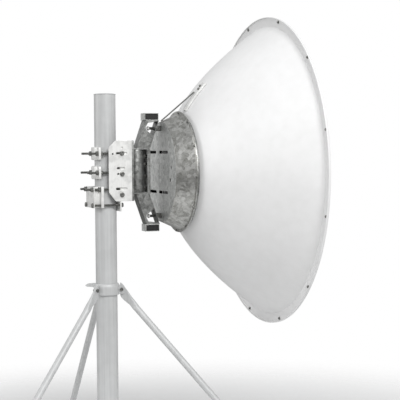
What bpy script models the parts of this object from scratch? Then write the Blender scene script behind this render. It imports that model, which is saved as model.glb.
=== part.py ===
"""Parabolic dish antenna on a braced pole mast, in metres, +Z up.

The origin is under the middle of the mast's base plate. The dish looks along +X.
"""

import math

import bmesh
import bpy
from mathutils import Matrix, Vector

GAP = 0.0003  # left between pieces that touch

# Mast and its tripod
AXIS_HEIGHT = 1.350  # dish axis above the ground
MAST_RADIUS = 0.04445
MAST_WALL = 0.0032
MAST_TOP = AXIS_HEIGHT + 0.322
BASE_PLATE_RADIUS = 0.100
BASE_PLATE_THICKNESS = 0.010
LEG_AZIMUTHS = {"brace_right": -29.0, "brace_left": -149.0, "brace_far": 91.0}
LEG_SLOPE = 1.13  # drop for each metre outwards
LEG_START = (0.108, -0.542)  # where the round tube begins, height from the dish axis
EAR_AZIMUTH = 160.0
LEG_RADIUS = 0.01345
COLLAR_TOP = AXIS_HEIGHT - 0.458
COLLAR_HEIGHT = 0.047
COLLAR_RADIUS = 0.0535
FOOT_SIZE = 0.090
FOOT_THICKNESS = 0.006

# Clamps on the mast, heights from the dish axis
STUD_RADIUS = 0.005
STUD_Y = 0.055
UPPER_CLAMP = 0.080
MIDDLE_CLAMP = 0.0015
LOWER_CLAMP = -0.067
BOTTOM_CLAMP = -0.132
JAW_HEIGHT = 0.053
JAW_RADIUS = 0.056
EAR_REACH = 0.065  # half the width over the ears that the studs go through
STUDS = {  # rear end, front end, height from the dish axis
    "upper": (-0.0870, 0.0600, UPPER_CLAMP),
    "middle": (-0.0910, 0.0600, MIDDLE_CLAMP),
    "lower": (-0.0935, 0.0600, LOWER_CLAMP),
    "bottom": (-0.0750, 0.0600, BOTTOM_CLAMP),
}
LOWER_BRACKET_X = (-0.0670, -0.0235)
LOWER_BRACKET_Z = (-0.1425, -0.0555)
LOWER_BRACKET_SHEET = 0.004
LOWER_BRACKET_EAR = 0.0120
LOWER_BRACKET_SEAT = 0.030  # half the width of the mast's bore in the bracket's bridge
LOWER_STRAP_Z = (-0.158, -0.118)

# Pole bracket between the mast and the bow frame
SIDE_PLATE_X = (-0.004, 0.0950)
SIDE_PLATE_Z = (-0.116, 0.133)
SIDE_PLATE_Y = 0.0655  # inner face
SIDE_PLATE_THICKNESS = 0.005
SIDE_PLATE_CHAMFER = 0.029
BACK_PLATE_THICKNESS = 0.008

# Bow frame that carries the drum
BOW_HALF_WIDTH = 0.031
BOW_LEAN = math.radians(19.0)
BOW_DEPTH = 0.0575  # measured level
BOW_WALL = 0.004
BOW_BEND_Z = 0.102
BOW_REAR_X = 0.128
CROSS_TUBE = (0.060, 0.030)
CROSS_TUBE_Z = 0.232
CROSS_TUBE_X = 0.193
PIVOT_RADIUS = 0.030
PIVOT_Z = (-0.083, 0.0957)

# Drum behind the dish
PLATE_X = 0.2394
PLATE_RADIUS = 0.2077
PLATE_THICKNESS = 0.004
DRUM_BACK_RADIUS = 0.2085
DRUM_FRONT_X = 0.3140
DRUM_FRONT_RADIUS = 0.2430
DRUM_WALL = 0.003
DRUM_FLANGE_RADIUS = 0.2554
DRUM_FLANGE_THICKNESS = 0.004
HUB_RING = (0.226, 0.240)

# Dish: its outer side is a paraboloid, depth behind the rim = DEPTH - BOWL * r * r
RIM_X = 0.713
DISH_DEPTH = 0.4489
DISH_BOWL = 1.1634
DISH_WALL = 0.003
DISH_EDGE_RADIUS = 0.6165
RIM_RADIUS = 0.658
RIM_THICKNESS = 0.004
RIM_LIP = 0.010
FEED_RADIUS = 0.025
SUB_REFLECTOR_X = 0.478
SUB_REFLECTOR_RADIUS = 0.060
STAY_REACH = (0.258, 0.372)  # radii on the dish where the bar starts and ends
STAY_LIFT = 0.0007
STAY_THICKNESS = 0.0078
STAY_WIDTH = 0.036
STAY_LEAN = 7.0  # degrees from the top towards the near side
STAY_STEPS = 6
STAY_ROD = 0.006
STAY_ROD_FOOT = (0.2436, 0.2146)  # X and height on the drum wall's top
STAY_ROD_RADIUS_ON_DISH = 0.330
STAY_ROD_LEAN = 5.0
DISH_SEGMENTS = 72
MERIDIAN_STEPS = 14
ROUND_SEGMENTS = 24


def start_scene():
    """Empties the scene and makes the collections for the pieces and the cutters."""
    for old in list(bpy.data.objects):
        bpy.data.objects.remove(old, do_unlink=True)
    scene = bpy.context.scene
    made = []
    for name in ("Dish antenna", "Cutters"):
        collection = bpy.data.collections.new(name)
        scene.collection.children.link(collection)
        made.append(collection)
    made[1].hide_render = True
    return made


PARTS, CUTTERS = start_scene()


def material(name, colour, roughness, metallic):
    """A Principled material, made once for each name."""
    found = bpy.data.materials.get(name)
    if found:
        return found
    made = bpy.data.materials.new(name)
    made.use_nodes = True
    shader = made.node_tree.nodes["Principled BSDF"]
    shader.inputs["Base Color"].default_value = (*colour, 1.0)
    shader.inputs["Roughness"].default_value = roughness
    shader.inputs["Metallic"].default_value = metallic
    return made


def white_paint():
    return material("white painted aluminium", (0.80, 0.81, 0.82), 0.38, 0.0)


def galvanised():
    return material("galvanised steel", (0.56, 0.57, 0.57), 0.42, 0.9)


def light_zinc():
    return material("bright zinc steel", (0.74, 0.74, 0.73), 0.36, 0.7)


def mast_paint():
    return material("pale grey mast steel", (0.62, 0.62, 0.62), 0.50, 0.3)


def bolt_steel():
    return material("zinc plated bolt steel", (0.42, 0.42, 0.41), 0.34, 0.9)


def black_plastic():
    return material("black plastic plug", (0.012, 0.012, 0.013), 0.55, 0.0)


def add_object(name, mesh, finish=None, collection=None):
    made = bpy.data.objects.new(name, mesh)
    (collection or PARTS).objects.link(made)
    if finish:
        mesh.materials.clear()
        mesh.materials.append(finish)
    return made


def smooth(piece, angle=35.0):
    piece.data.shade_smooth()
    piece.data.set_sharp_from_angle(angle=math.radians(angle))
    return piece


def helper(piece):
    """Turns an object into a cutter or another hidden aid."""
    for collection in list(piece.users_collection):
        collection.objects.unlink(piece)
    CUTTERS.objects.link(piece)
    piece.hide_render = True
    piece.display_type = "WIRE"
    return piece


def block(name, x, y, z, finish=None):
    """A box between two values along each axis."""
    mesh = bpy.data.meshes.new(name)
    work = bmesh.new()
    bmesh.ops.create_cube(work, size=1.0)
    spans = [Vector((low, high)) for low, high in (x, y, z)]
    size = [span[1] - span[0] for span in spans]
    middle = [(span[0] + span[1]) / 2 for span in spans]
    bmesh.ops.scale(work, vec=size, verts=work.verts)
    bmesh.ops.translate(work, vec=middle, verts=work.verts)
    work.to_mesh(mesh)
    work.free()
    return add_object(name, mesh, finish)


def rod(name, start, end, radius, finish=None, segments=ROUND_SEGMENTS, end_radius=None):
    """A round bar or cone between two points."""
    start = Vector(start)
    run = Vector(end) - start
    mesh = bpy.data.meshes.new(name)
    work = bmesh.new()
    bmesh.ops.create_cone(
        work,
        cap_ends=True,
        segments=segments,
        radius1=radius,
        radius2=radius if end_radius is None else end_radius,
        depth=run.length,
    )
    turn = run.to_track_quat("Z", "Y").to_matrix().to_4x4()
    work.transform(Matrix.Translation(start + run / 2) @ turn)
    work.to_mesh(mesh)
    work.free()
    made = add_object(name, mesh, finish)
    return smooth(made) if segments > 8 else made


def turned(name, profile, finish=None, along_x=True, segments=DISH_SEGMENTS):
    """A closed profile of (radius, place along the axis) turned about X or Z."""
    mesh = bpy.data.meshes.new(name)
    work = bmesh.new()
    corners = [work.verts.new((radius, 0.0, place)) for radius, place in profile]
    for one, other in zip(corners, corners[1:] + corners[:1]):
        work.edges.new((one, other))
    work.to_mesh(mesh)
    work.free()
    made = add_object(name, mesh, finish)
    if along_x:
        made.rotation_euler = (0.0, math.pi / 2, 0.0)
        made.location = (0.0, 0.0, AXIS_HEIGHT)
    screw = made.modifiers.new("Turn", "SCREW")
    screw.axis = "Z"
    screw.steps = segments
    screw.render_steps = segments
    screw.use_merge_vertices = True
    screw.merge_threshold = 0.00001
    screw.use_smooth_shade = True
    return made


def baked(piece):
    """Replaces an object's mesh with its evaluated mesh, in world space."""
    bpy.context.view_layer.update()
    graph = bpy.context.evaluated_depsgraph_get()
    mesh = bpy.data.meshes.new_from_object(piece.evaluated_get(graph))
    mesh.transform(piece.matrix_world)
    made_of_curve = piece.type == "CURVE"
    work = bmesh.new()
    work.from_mesh(mesh)
    if made_of_curve:
        bmesh.ops.remove_doubles(work, verts=work.verts, dist=0.000005)
    bmesh.ops.recalc_face_normals(work, faces=work.faces)
    work.to_mesh(mesh)
    work.free()
    name = piece.name
    finish = piece.data.materials[0] if piece.data.materials else None
    collection = piece.users_collection[0]
    bpy.data.objects.remove(piece, do_unlink=True)
    mesh.name = name
    return add_object(name, mesh, finish, collection)


def outline(name, loops, plane, span, finish=None):
    """A flat plate from closed loops of points, the first outside and the rest holes.

    The loops' two coordinates lie in plane ("xz", "yz" or "xy") and span gives the plate's
    two faces along the third axis.
    """
    curve = bpy.data.curves.new(name, "CURVE")
    curve.dimensions = "2D"
    curve.fill_mode = "BOTH"
    curve.extrude = (span[1] - span[0]) / 2
    for loop in loops:
        spline = curve.splines.new("POLY")
        spline.points.add(len(loop) - 1)
        for point, (first, second) in zip(spline.points, loop):
            point.co = (first, second, 0.0, 1.0)
        spline.use_cyclic_u = True
    made = bpy.data.objects.new(name, curve)
    PARTS.objects.link(made)
    if finish:
        curve.materials.append(finish)
    middle = (span[0] + span[1]) / 2
    frames = {
        "xz": Matrix(((1, 0, 0, 0), (0, 0, -1, middle), (0, 1, 0, 0), (0, 0, 0, 1))),
        "yz": Matrix(((0, 0, 1, middle), (1, 0, 0, 0), (0, 1, 0, 0), (0, 0, 0, 1))),
        "xy": Matrix(((1, 0, 0, 0), (0, 1, 0, 0), (0, 0, 1, middle), (0, 0, 0, 1))),
    }
    made.matrix_world = frames[plane]
    return baked(made)


def circle(middle, radius, segments=16):
    """The points of a circle round a middle."""
    turns = [2 * math.pi * step / segments for step in range(segments)]
    return [(middle[0] + radius * math.cos(a), middle[1] + radius * math.sin(a)) for a in turns]


def slot(start, end, radius, segments=8):
    """The points of a level slot with round ends between two middles."""
    left = [math.pi / 2 + math.pi * step / segments for step in range(segments + 1)]
    right = [-math.pi / 2 + math.pi * step / segments for step in range(segments + 1)]
    points = [(start[0] + radius * math.cos(a), start[1] + radius * math.sin(a)) for a in left]
    points += [(end[0] + radius * math.cos(a), end[1] + radius * math.sin(a)) for a in right]
    return points


def combine(piece, others, operation):
    """Cuts or joins other objects into a piece and keeps the result as a plain mesh."""
    for index, other in enumerate(others):
        change = piece.modifiers.new(f"{operation} {index}", "BOOLEAN")
        change.operation = operation
        change.solver = "EXACT"
        change.object = helper(other)
    result = baked(piece)
    for other in others:
        bpy.data.objects.remove(other, do_unlink=True)
    return result


def cut(piece, others):
    return combine(piece, others, "DIFFERENCE")


def join(piece, others):
    return combine(piece, others, "UNION")


def up(height):
    """A height that is given from the dish axis, in world height."""
    return AXIS_HEIGHT + height


def span_up(low, high):
    return (up(low), up(high))


def dish_back(radius):
    """X of the dish's outer side at a radius."""
    return RIM_X - DISH_DEPTH + DISH_BOWL * radius * radius


def build_mast():
    bottom = BASE_PLATE_THICKNESS + GAP
    inner = MAST_RADIUS - MAST_WALL
    tube = [(inner, MAST_TOP), (MAST_RADIUS, MAST_TOP), (MAST_RADIUS, bottom), (inner, bottom)]
    baked(turned("mast_tube", tube, mast_paint(), along_x=False, segments=48))
    rod("base_plate", (0, 0, 0), (0, 0, BASE_PLATE_THICKNESS), BASE_PLATE_RADIUS, mast_paint(), 48)
    seat = MAST_TOP + GAP
    cap = [
        (0.0, seat + 0.0065),
        (MAST_RADIUS * 0.55, seat + 0.0055),
        (MAST_RADIUS * 0.88, seat + 0.0035),
        (MAST_RADIUS + 0.0012, seat),
        (inner - GAP, seat),
        (inner - GAP, seat - 0.014),
        (0.0, seat - 0.014),
    ]
    baked(turned("mast_cap", cap, mast_paint(), along_x=False, segments=48))


def build_collar():
    """The split collar that the three braces bolt to, with an ear for each brace."""
    top = COLLAR_TOP
    bottom = COLLAR_TOP - COLLAR_HEIGHT
    bore = MAST_RADIUS + GAP
    ring = [(bore, top), (COLLAR_RADIUS - 0.005, top), (COLLAR_RADIUS, top - 0.010)]
    ring += [(COLLAR_RADIUS, bottom), (bore, bottom)]
    collar = baked(turned("collar", ring, mast_paint(), along_x=False, segments=48))
    tabs = []
    for azimuth in LEG_AZIMUTHS.values():
        tab = block("tab", (0.0490, 0.0740), (-0.003, 0.003), (bottom + 0.002, top - 0.006))
        tab.data.transform(Matrix.Rotation(math.radians(azimuth), 4, "Z"))
        tabs.append(tab)
    ear = [(0.049, -0.456), (0.078, -0.459), (0.0895, -0.4665), (0.085, -0.472), (0.049, -0.475)]
    split_ear = outline("ear", [[(x, up(z)) for x, z in ear]], "xz", (-0.003, 0.003))
    split_ear.data.transform(Matrix.Rotation(math.radians(EAR_AZIMUTH), 4, "Z"))
    join(collar, [*tabs, split_ear])


def build_brace(name, azimuth):
    """One leg: a flattened lug beside the collar's ear, then a round tube to its foot."""
    along = Matrix.Rotation(math.radians(azimuth), 4, "Z")
    side = 0.0033
    thickness = 0.006
    tube_radius, tube_height = LEG_START
    lug_outline = [
        (0.0565, -0.509),
        (0.0565, -0.456),
        (0.0610, -0.457),
        (0.0676, -0.463),
        (0.0886, -0.492),
        (0.1190, -0.5375),
        (0.1240, -0.5480),
        (0.1100, -0.5600),
        (0.0860, -0.5380),
        (0.0710, -0.5300),
        (0.0606, -0.5170),
    ]
    points = [(x, up(z)) for x, z in lug_outline]
    lug = outline(name, [points], "xz", (side, side + thickness), mast_paint())
    middle = side + thickness / 2
    foot_top = FOOT_THICKNESS + GAP
    foot_radius = tube_radius + (up(tube_height) - foot_top) / LEG_SLOPE
    ends = [(tube_radius, middle, up(tube_height)), (foot_radius + 0.02, middle, foot_top - 0.02 * LEG_SLOPE)]
    brace = join(lug, [rod("tube", *ends, LEG_RADIUS)])
    floor_cut = block("floor", (0.0, 2.0), (-1.0, 1.0), (-0.2, foot_top))
    brace = smooth(cut(brace, [floor_cut]))
    brace.data.transform(along)
    foot = block(
        name.replace("brace", "foot_plate"),
        (foot_radius - FOOT_SIZE / 2, foot_radius + FOOT_SIZE / 2),
        (middle - FOOT_SIZE / 2, middle + FOOT_SIZE / 2),
        (0.0, FOOT_THICKNESS),
        mast_paint(),
    )
    foot.data.transform(along)


def stud_cutters(places, x, radius):
    """Cutters for the stud holes at some heights, on both sides of the mast."""
    return [
        rod("hole", (x[0], side * STUD_Y, up(height)), (x[1], side * STUD_Y, up(height)), radius, None, 12)
        for height in places
        for side in (-1, 1)
    ]


def build_clamps():
    """The jaws behind the mast, the studs through them and the bottom bracket."""
    bore = MAST_RADIUS + GAP
    hole = STUD_RADIUS + 0.0004
    for name, height in (("clamp_jaw_upper", UPPER_CLAMP), ("clamp_jaw_middle", MIDDLE_CLAMP)):
        low = up(height) - JAW_HEIGHT / 2
        high = up(height) + JAW_HEIGHT / 2
        ring = [(bore, high), (JAW_RADIUS, high), (JAW_RADIUS, low), (bore, low)]
        jaw = baked(turned(name, ring, light_zinc(), along_x=False, segments=48))
        ears = block("ears", (-0.044, -0.034), (-0.0650, 0.0650), (low, high))
        bore_cut = rod("bore", (0, 0, low - 0.01), (0, 0, high + 0.01), bore, None, 48)
        ears = cut(ears, [bore_cut])
        jaw = join(jaw, [ears])
        front = block("front", (-0.0335, 0.1), (-0.1, 0.1), (low - 0.01, high + 0.01))
        jaw = cut(jaw, [front])
        smooth(cut(jaw, stud_cutters([height], (-0.06, -0.02), hole)))
    for level, (rear, front, height) in STUDS.items():
        for side, sign in (("near", -1), ("far", 1)):
            ends = [(x, sign * STUD_Y, up(height)) for x in (rear, front)]
            rod(f"stud_{level}_{side}", *ends, STUD_RADIUS, bolt_steel(), 12)
    build_lower_clamp(hole)


def build_lower_clamp(hole):
    """The tall bracket behind the mast that two pairs of studs hold, and its front strap."""
    tall = span_up(*LOWER_BRACKET_Z)
    inner = MAST_RADIUS + GAP
    rear, front = LOWER_BRACKET_X
    sheet = LOWER_BRACKET_SHEET
    width = (-EAR_REACH, EAR_REACH)
    bracket = block("lower_bracket", (rear, rear + sheet), width, tall, light_zinc())
    added = []
    for sign in (-1, 1):
        faces = sorted((sign * inner, sign * (inner + sheet)))
        added.append(block("cheek", (rear + sheet / 2, front), faces, tall))
        faces = sorted((sign * (inner + sheet / 2), sign * EAR_REACH))
        added.append(block("ear", (front - LOWER_BRACKET_EAR, front), faces, tall))
    bridge_front = -math.sqrt(inner**2 - LOWER_BRACKET_SEAT**2)
    bridge = block("bridge", (bridge_front - sheet, bridge_front), (-inner - sheet / 2, inner + sheet / 2), tall)
    bore_cut = rod("bore", (0, 0, tall[0] - 0.01), (0, 0, tall[1] + 0.01), inner, None, 48)
    bracket = cut(join(bracket, [*added, bridge]), [bore_cut])
    heights = (LOWER_CLAMP, BOTTOM_CLAMP)
    smooth(cut(bracket, stud_cutters(heights, (rear - 0.02, front + 0.02), hole)))
    seat = MAST_RADIUS + GAP
    strap = block("lower_strap", (seat, seat + 0.006), width, span_up(*LOWER_STRAP_Z), light_zinc())
    cut(strap, stud_cutters([BOTTOM_CLAMP], (0.03, 0.08), hole))


def build_pole_bracket():
    """Saddle on the mast, the two slotted side plates and the plate that closes them."""
    hole = STUD_RADIUS + 0.0004
    low, high = SIDE_PLATE_Z
    inner = SIDE_PLATE_Y - GAP
    saddle = block(
        "pole_saddle",
        (MAST_RADIUS + GAP, MAST_RADIUS + GAP + 0.006),
        (-inner, inner),
        span_up(low + 0.012, high - 0.012),
        light_zinc(),
    )
    flanges = []
    for sign in (-1, 1):
        faces = sorted((sign * inner, sign * (inner - 0.004)))
        reach = (MAST_RADIUS + 0.003, SIDE_PLATE_X[1] - 0.003)
        tall = span_up(low + 0.012, high - 0.012)
        flanges.append(block("flange", reach, faces, tall))
    saddle = join(saddle, flanges)
    cut(saddle, stud_cutters((UPPER_CLAMP, MIDDLE_CLAMP, LOWER_CLAMP), (0.03, 0.0560), hole))
    chamfer = SIDE_PLATE_CHAMFER
    x0, x1 = SIDE_PLATE_X
    edge = [(x1, up(low)), (x1, up(high)), (x0 + chamfer, up(high)), (x0, up(high) - chamfer)]
    edge += [(x0, up(low) + chamfer * 1.3), (x0 + chamfer, up(low))]
    holes = [
        circle((0.0525, up(0.1032)), 0.0042),
        circle((0.0135, up(0.0782)), 0.0035),
        slot((0.0315, up(0.0810)), (0.0695, up(0.0810)), 0.0045),
        slot((0.0350, up(0.0198)), (0.0595, up(0.0198)), 0.0045),
        circle((0.0360, up(-0.0040)), 0.0045),
        slot((0.0305, up(-0.0650)), (0.0690, up(-0.0650)), 0.0050),
    ]
    for side, sign in (("near", -1), ("far", 1)):
        faces = sorted((sign * SIDE_PLATE_Y, sign * (SIDE_PLATE_Y + SIDE_PLATE_THICKNESS)))
        outline(f"side_plate_{side}", [edge, *holes], "xz", faces, light_zinc())
    rear = SIDE_PLATE_X[1] + GAP
    outer = SIDE_PLATE_Y + SIDE_PLATE_THICKNESS
    tall = span_up(low, high)
    block("pivot_plate", (rear, rear + BACK_PLATE_THICKNESS), (-outer, outer), tall, galvanised())


def bow_rear(height):
    """X of the bow arm's rear side at a height from the axis, above or below."""
    return BOW_REAR_X + (abs(height) - BOW_BEND_Z) * math.tan(BOW_LEAN)


def build_arm(level, sign):
    """A leaning box tube with a rounded window near its end, a cross tube and its plugs."""
    foot = PIVOT_Z[1] + 0.0045 if sign > 0 else -PIVOT_Z[0] + 0.0045
    top = CROSS_TUBE_Z - CROSS_TUBE[1] / 2 - GAP
    half = BOW_HALF_WIDTH

    def side(inset, lengthen=0.0):
        heights = (foot - lengthen, top + lengthen)
        rear = [(bow_rear(h) + inset, up(sign * h)) for h in heights]
        front = [(bow_rear(h) + BOW_DEPTH - inset, up(sign * h)) for h in reversed(heights)]
        return rear + front

    arm = outline(f"arm_{level}", [side(0.0)], "xz", (-half, half), galvanised())
    inner = outline("inner", [side(BOW_WALL, 0.02)], "xz", (-half + BOW_WALL, half - BOW_WALL))
    arm = cut(arm, [inner])
    middle = 0.1830
    wide = 0.0290
    front = bow_rear(middle) + BOW_DEPTH - BOW_WALL
    window = [
        (front + 0.0010 + wide * math.tan(BOW_LEAN), up(sign * (middle + wide))),
        (front - 0.0330, up(sign * (middle + wide * 0.80))),
        (front - 0.0420, up(sign * (middle + 0.0060))),
        (front - 0.0410, up(sign * (middle - 0.0060))),
        (front - 0.0150, up(sign * (middle - wide * 0.90))),
        (front + 0.0010 - wide * math.tan(BOW_LEAN), up(sign * (middle - wide))),
    ]
    window_cut = outline("window", [window], "xz", (-0.05, 0.05))
    bolt_place = Vector((0, 0, up(sign * 0.1835)))
    hole = rod("hole", bolt_place + Vector((0.17, 0, 0)), bolt_place + Vector((0.26, 0, 0)), 0.0065, None, 12)
    cut(arm, [window_cut, hole])
    wide_x, tall_z = CROSS_TUBE
    x = (CROSS_TUBE_X - wide_x / 2, CROSS_TUBE_X + wide_x / 2)
    z = span_up(*sorted((sign * (CROSS_TUBE_Z - tall_z / 2), sign * (CROSS_TUBE_Z + tall_z / 2))))
    cross = block(f"cross_tube_{level}", x, (-half, half), z, galvanised())
    bore = block(
        "bore",
        (x[0] + 0.0025, x[1] - 0.0025),
        (-half - 0.01, half + 0.01),
        (z[0] + 0.0025, z[1] - 0.0025),
    )
    cut(cross, [bore])
    for side_name, way in (("near", -1), ("far", 1)):
        faces = sorted((way * (half - 0.012), way * (half + 0.0010)))
        block(
            f"end_plug_{level}_{side_name}",
            (x[0] + 0.0028, x[1] - 0.0028),
            faces,
            (z[0] + 0.0028, z[1] - 0.0028),
            black_plastic(),
        )
    start = (0.1890, 0, up(sign * 0.1835))
    end = (PLATE_X - GAP, 0, up(sign * 0.1835))
    rod(f"adjusting_bolt_{level}", start, end, 0.006, bolt_steel(), 12)


def build_bow():
    """The pivot tube, its end plates, the spine in front of it and the two arms."""
    pivot_x = SIDE_PLATE_X[1] + 2 * GAP + BACK_PLATE_THICKNESS + PIVOT_RADIUS
    tube = rod(
        "pivot_tube",
        (pivot_x, 0, up(PIVOT_Z[0])),
        (pivot_x, 0, up(PIVOT_Z[1])),
        PIVOT_RADIUS,
        galvanised(),
        32,
    )
    spine_front = BOW_REAR_X + BOW_DEPTH
    spine_rear = spine_front - 0.0135
    web = spine_front - 0.004
    studs = [
        rod("stud", (pivot_x, 0, up(h)), (web - GAP, 0, up(h)), 0.006, None, 12)
        for h in (0.066, 0.033, -0.017, -0.066)
    ]
    smooth(join(tube, studs))
    half = BOW_HALF_WIDTH
    tall = span_up(PIVOT_Z[0], PIVOT_Z[1])
    spine = block("bow_spine", (web, spine_front), (-half, half), tall, galvanised())
    flanges = [
        block("flange", (spine_rear, spine_front), sorted((s * half, s * (half - 0.004))), tall)
        for s in (-1, 1)
    ]
    join(spine, flanges)
    for level, low, high in (
        ("upper", PIVOT_Z[1] + GAP, PIVOT_Z[1] + GAP + 0.0039),
        ("lower", PIVOT_Z[0] - GAP - 0.0039, PIVOT_Z[0] - GAP),
    ):
        x = (SIDE_PLATE_X[1] + 2 * GAP + BACK_PLATE_THICKNESS, spine_front)
        block(f"pivot_cheek_{level}", x, (-half, half), span_up(low, high), galvanised())
    build_arm("upper", 1)
    build_arm("lower", -1)


def build_drum():
    """Back plate with its slots, the widening wall with a flange, and the ring on the dish."""
    plate_rim = circle((0, AXIS_HEIGHT), PLATE_RADIUS, DISH_SEGMENTS)
    holes = [
        slot((-0.095, up(0.0835)), (0.0150, up(0.0835)), 0.0060),
        slot((0.0680, up(0.0835)), (0.1470, up(0.0835)), 0.0060),
        slot((-0.090, up(-0.0845)), (0.0200, up(-0.0845)), 0.0060),
        slot((0.0650, up(-0.0845)), (0.1600, up(-0.0845)), 0.0060),
        circle((-0.1410, up(0.0220)), 0.0080),
        circle((-0.1300, up(-0.0300)), 0.0080),
    ]
    faces = (PLATE_X, PLATE_X + PLATE_THICKNESS)
    outline("drum_plate", [plate_rim, *holes], "yz", faces, galvanised())
    back = PLATE_X + 0.0005
    seat = PLATE_X + PLATE_THICKNESS + GAP
    front = DRUM_FRONT_X
    slim = DRUM_WALL
    wall = [
        (DRUM_BACK_RADIUS + 0.0012, back),
        (DRUM_BACK_RADIUS - 0.0002 + GAP, back),
        (DRUM_BACK_RADIUS - 0.0002 + GAP, seat),
        (DRUM_BACK_RADIUS - 0.012, seat),
        (DRUM_BACK_RADIUS - 0.012, seat + slim),
        (DRUM_BACK_RADIUS - 0.001, seat + slim),
        (DRUM_FRONT_RADIUS - slim, front),
        (DRUM_FRONT_RADIUS - slim, front + DRUM_FLANGE_THICKNESS),
        (DRUM_FLANGE_RADIUS, front + DRUM_FLANGE_THICKNESS),
        (DRUM_FLANGE_RADIUS, front),
        (DRUM_FRONT_RADIUS + 0.0005, front),
    ]
    baked(turned("drum_wall", wall, galvanised()))
    inner, outer = HUB_RING
    base = front + DRUM_FLANGE_THICKNESS + GAP
    lean = 0.0006
    ring = [
        (inner, base),
        (inner, dish_back(inner) - lean),
        (outer, dish_back(outer) - lean),
        (outer, base),
    ]
    baked(turned("hub_ring", ring, galvanised()))


def build_dish():
    """The bowl with its flat rim flange in one shell, the feed tube and its sub-reflector."""
    hub = 0.0400
    steps = [hub + (DISH_EDGE_RADIUS - hub) * step / MERIDIAN_STEPS for step in range(MERIDIAN_STEPS + 1)]
    back = [(radius, dish_back(radius)) for radius in steps]
    front = []
    for radius in steps:
        slope = 2 * DISH_BOWL * radius
        norm = math.hypot(1.0, slope)
        front.append((radius - DISH_WALL * slope / norm, dish_back(radius) + DISH_WALL / norm))
    front[0] = (hub, dish_back(hub) + DISH_WALL)
    rim = [
        (RIM_RADIUS - 0.003, RIM_X - RIM_THICKNESS),
        (RIM_RADIUS - 0.003, RIM_X - RIM_LIP),
        (RIM_RADIUS, RIM_X - RIM_LIP),
        (RIM_RADIUS, RIM_X),
    ]
    profile = back + rim + [(DISH_EDGE_RADIUS - 0.004, RIM_X)] + front[-2::-1]
    baked(turned("reflector", profile, white_paint()))
    seat = dish_back(0.0)
    flange_back = seat - 0.006
    feed = [
        (FEED_RADIUS, SUB_REFLECTOR_X),
        (FEED_RADIUS - 0.0015, SUB_REFLECTOR_X),
        (FEED_RADIUS - 0.0015, flange_back),
        (hub - GAP, flange_back),
        (hub - GAP, dish_back(hub) + DISH_WALL + 0.001),
        (FEED_RADIUS, dish_back(hub) + DISH_WALL + 0.001),
    ]
    baked(turned("feed_tube", feed, white_paint(), segments=32))
    base = SUB_REFLECTOR_X + GAP
    edge = SUB_REFLECTOR_RADIUS
    cup = [
        (0.0, base + 0.016),
        (0.0, base),
        (0.030, base),
        (edge * 0.8, base + 0.004),
        (edge, base + 0.011),
        (edge, base + 0.016),
    ]
    baked(turned("sub_reflector", cup, white_paint(), segments=40))


def build_stay():
    """The stay bar along the dish's top and the rod to it from the rim of the drum plate."""

    def above(radius, lift):
        """A point over the dish's outer side, off it by lift at right angles."""
        slope = 2 * DISH_BOWL * radius
        norm = math.hypot(1.0, slope)
        return (dish_back(radius) - lift / norm, up(radius + lift * slope / norm))

    def leaned(degrees):
        """Turns the top of the dish towards its near side, about the dish's axis."""
        turn = Matrix.Rotation(math.radians(degrees), 4, "X")
        return Matrix.Translation((0, 0, AXIS_HEIGHT)) @ turn @ Matrix.Translation((0, 0, -AXIS_HEIGHT))

    low, high = STAY_REACH
    reach = [low + (high - low) * step / STAY_STEPS for step in range(STAY_STEPS + 1)]
    under = [above(radius, STAY_LIFT) for radius in reach]
    over = [above(radius, STAY_LIFT + STAY_THICKNESS) for radius in reach]
    wide = (-STAY_WIDTH / 2, STAY_WIDTH / 2)
    bar = outline("stay_bar", [under + over[::-1]], "xz", wide, light_zinc())
    bar.data.transform(leaned(STAY_LEAN))
    x, z = above(STAY_ROD_RADIUS_ON_DISH, STAY_LIFT + STAY_THICKNESS + STAY_ROD / 2 + GAP)
    top = leaned(STAY_ROD_LEAN) @ Vector((x, 0, z))
    rod("stay_rod", (STAY_ROD_FOOT[0], 0, up(STAY_ROD_FOOT[1])), top, STAY_ROD / 2, bolt_steel(), 12)


build_mast()
build_collar()
for leg_name, leg_azimuth in LEG_AZIMUTHS.items():
    build_brace(leg_name, leg_azimuth)
build_clamps()
build_pole_bracket()
build_bow()
build_drum()
build_dish()
build_stay()
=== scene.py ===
"""Parabolic dish antenna on its braced mast, laid out as an add-on and run as a script.

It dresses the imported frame: surfaces worked out with numpy stand for the faceted solids, and
each gets a procedural material. Lengths are in metres, in the frame's own axes: the dish looks
along +X, +Z is up, and the near side is -Y.
"""

import math

import bmesh
import bpy
import numpy as np
from mathutils import Matrix, Vector
from mathutils.geometry import tessellate_polygon


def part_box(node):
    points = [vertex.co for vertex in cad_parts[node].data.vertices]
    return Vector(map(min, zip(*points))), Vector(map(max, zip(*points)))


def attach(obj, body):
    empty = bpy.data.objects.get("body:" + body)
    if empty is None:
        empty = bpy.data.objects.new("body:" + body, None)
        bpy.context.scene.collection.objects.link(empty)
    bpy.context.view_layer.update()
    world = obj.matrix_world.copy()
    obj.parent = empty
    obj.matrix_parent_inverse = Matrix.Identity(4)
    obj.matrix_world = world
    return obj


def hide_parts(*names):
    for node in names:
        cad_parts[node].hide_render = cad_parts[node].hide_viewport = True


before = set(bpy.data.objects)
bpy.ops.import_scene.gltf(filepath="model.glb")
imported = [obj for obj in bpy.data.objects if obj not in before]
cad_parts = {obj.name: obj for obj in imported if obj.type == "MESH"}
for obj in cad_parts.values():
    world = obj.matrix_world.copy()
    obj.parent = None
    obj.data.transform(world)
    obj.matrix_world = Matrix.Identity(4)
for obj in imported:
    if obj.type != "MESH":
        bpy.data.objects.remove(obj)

bl_info = {
    "name": "Dish antenna on a mast",
    "version": (1, 0, 0),
    "blender": (4, 5, 0),
    "location": "View3D > Sidebar > Antenna",
    "description": "Builds the dish, its drum, the bow bracket and the braced mast",
    "category": "Object",
}

GAP = 0.0003
TINY = 1e-6


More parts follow.
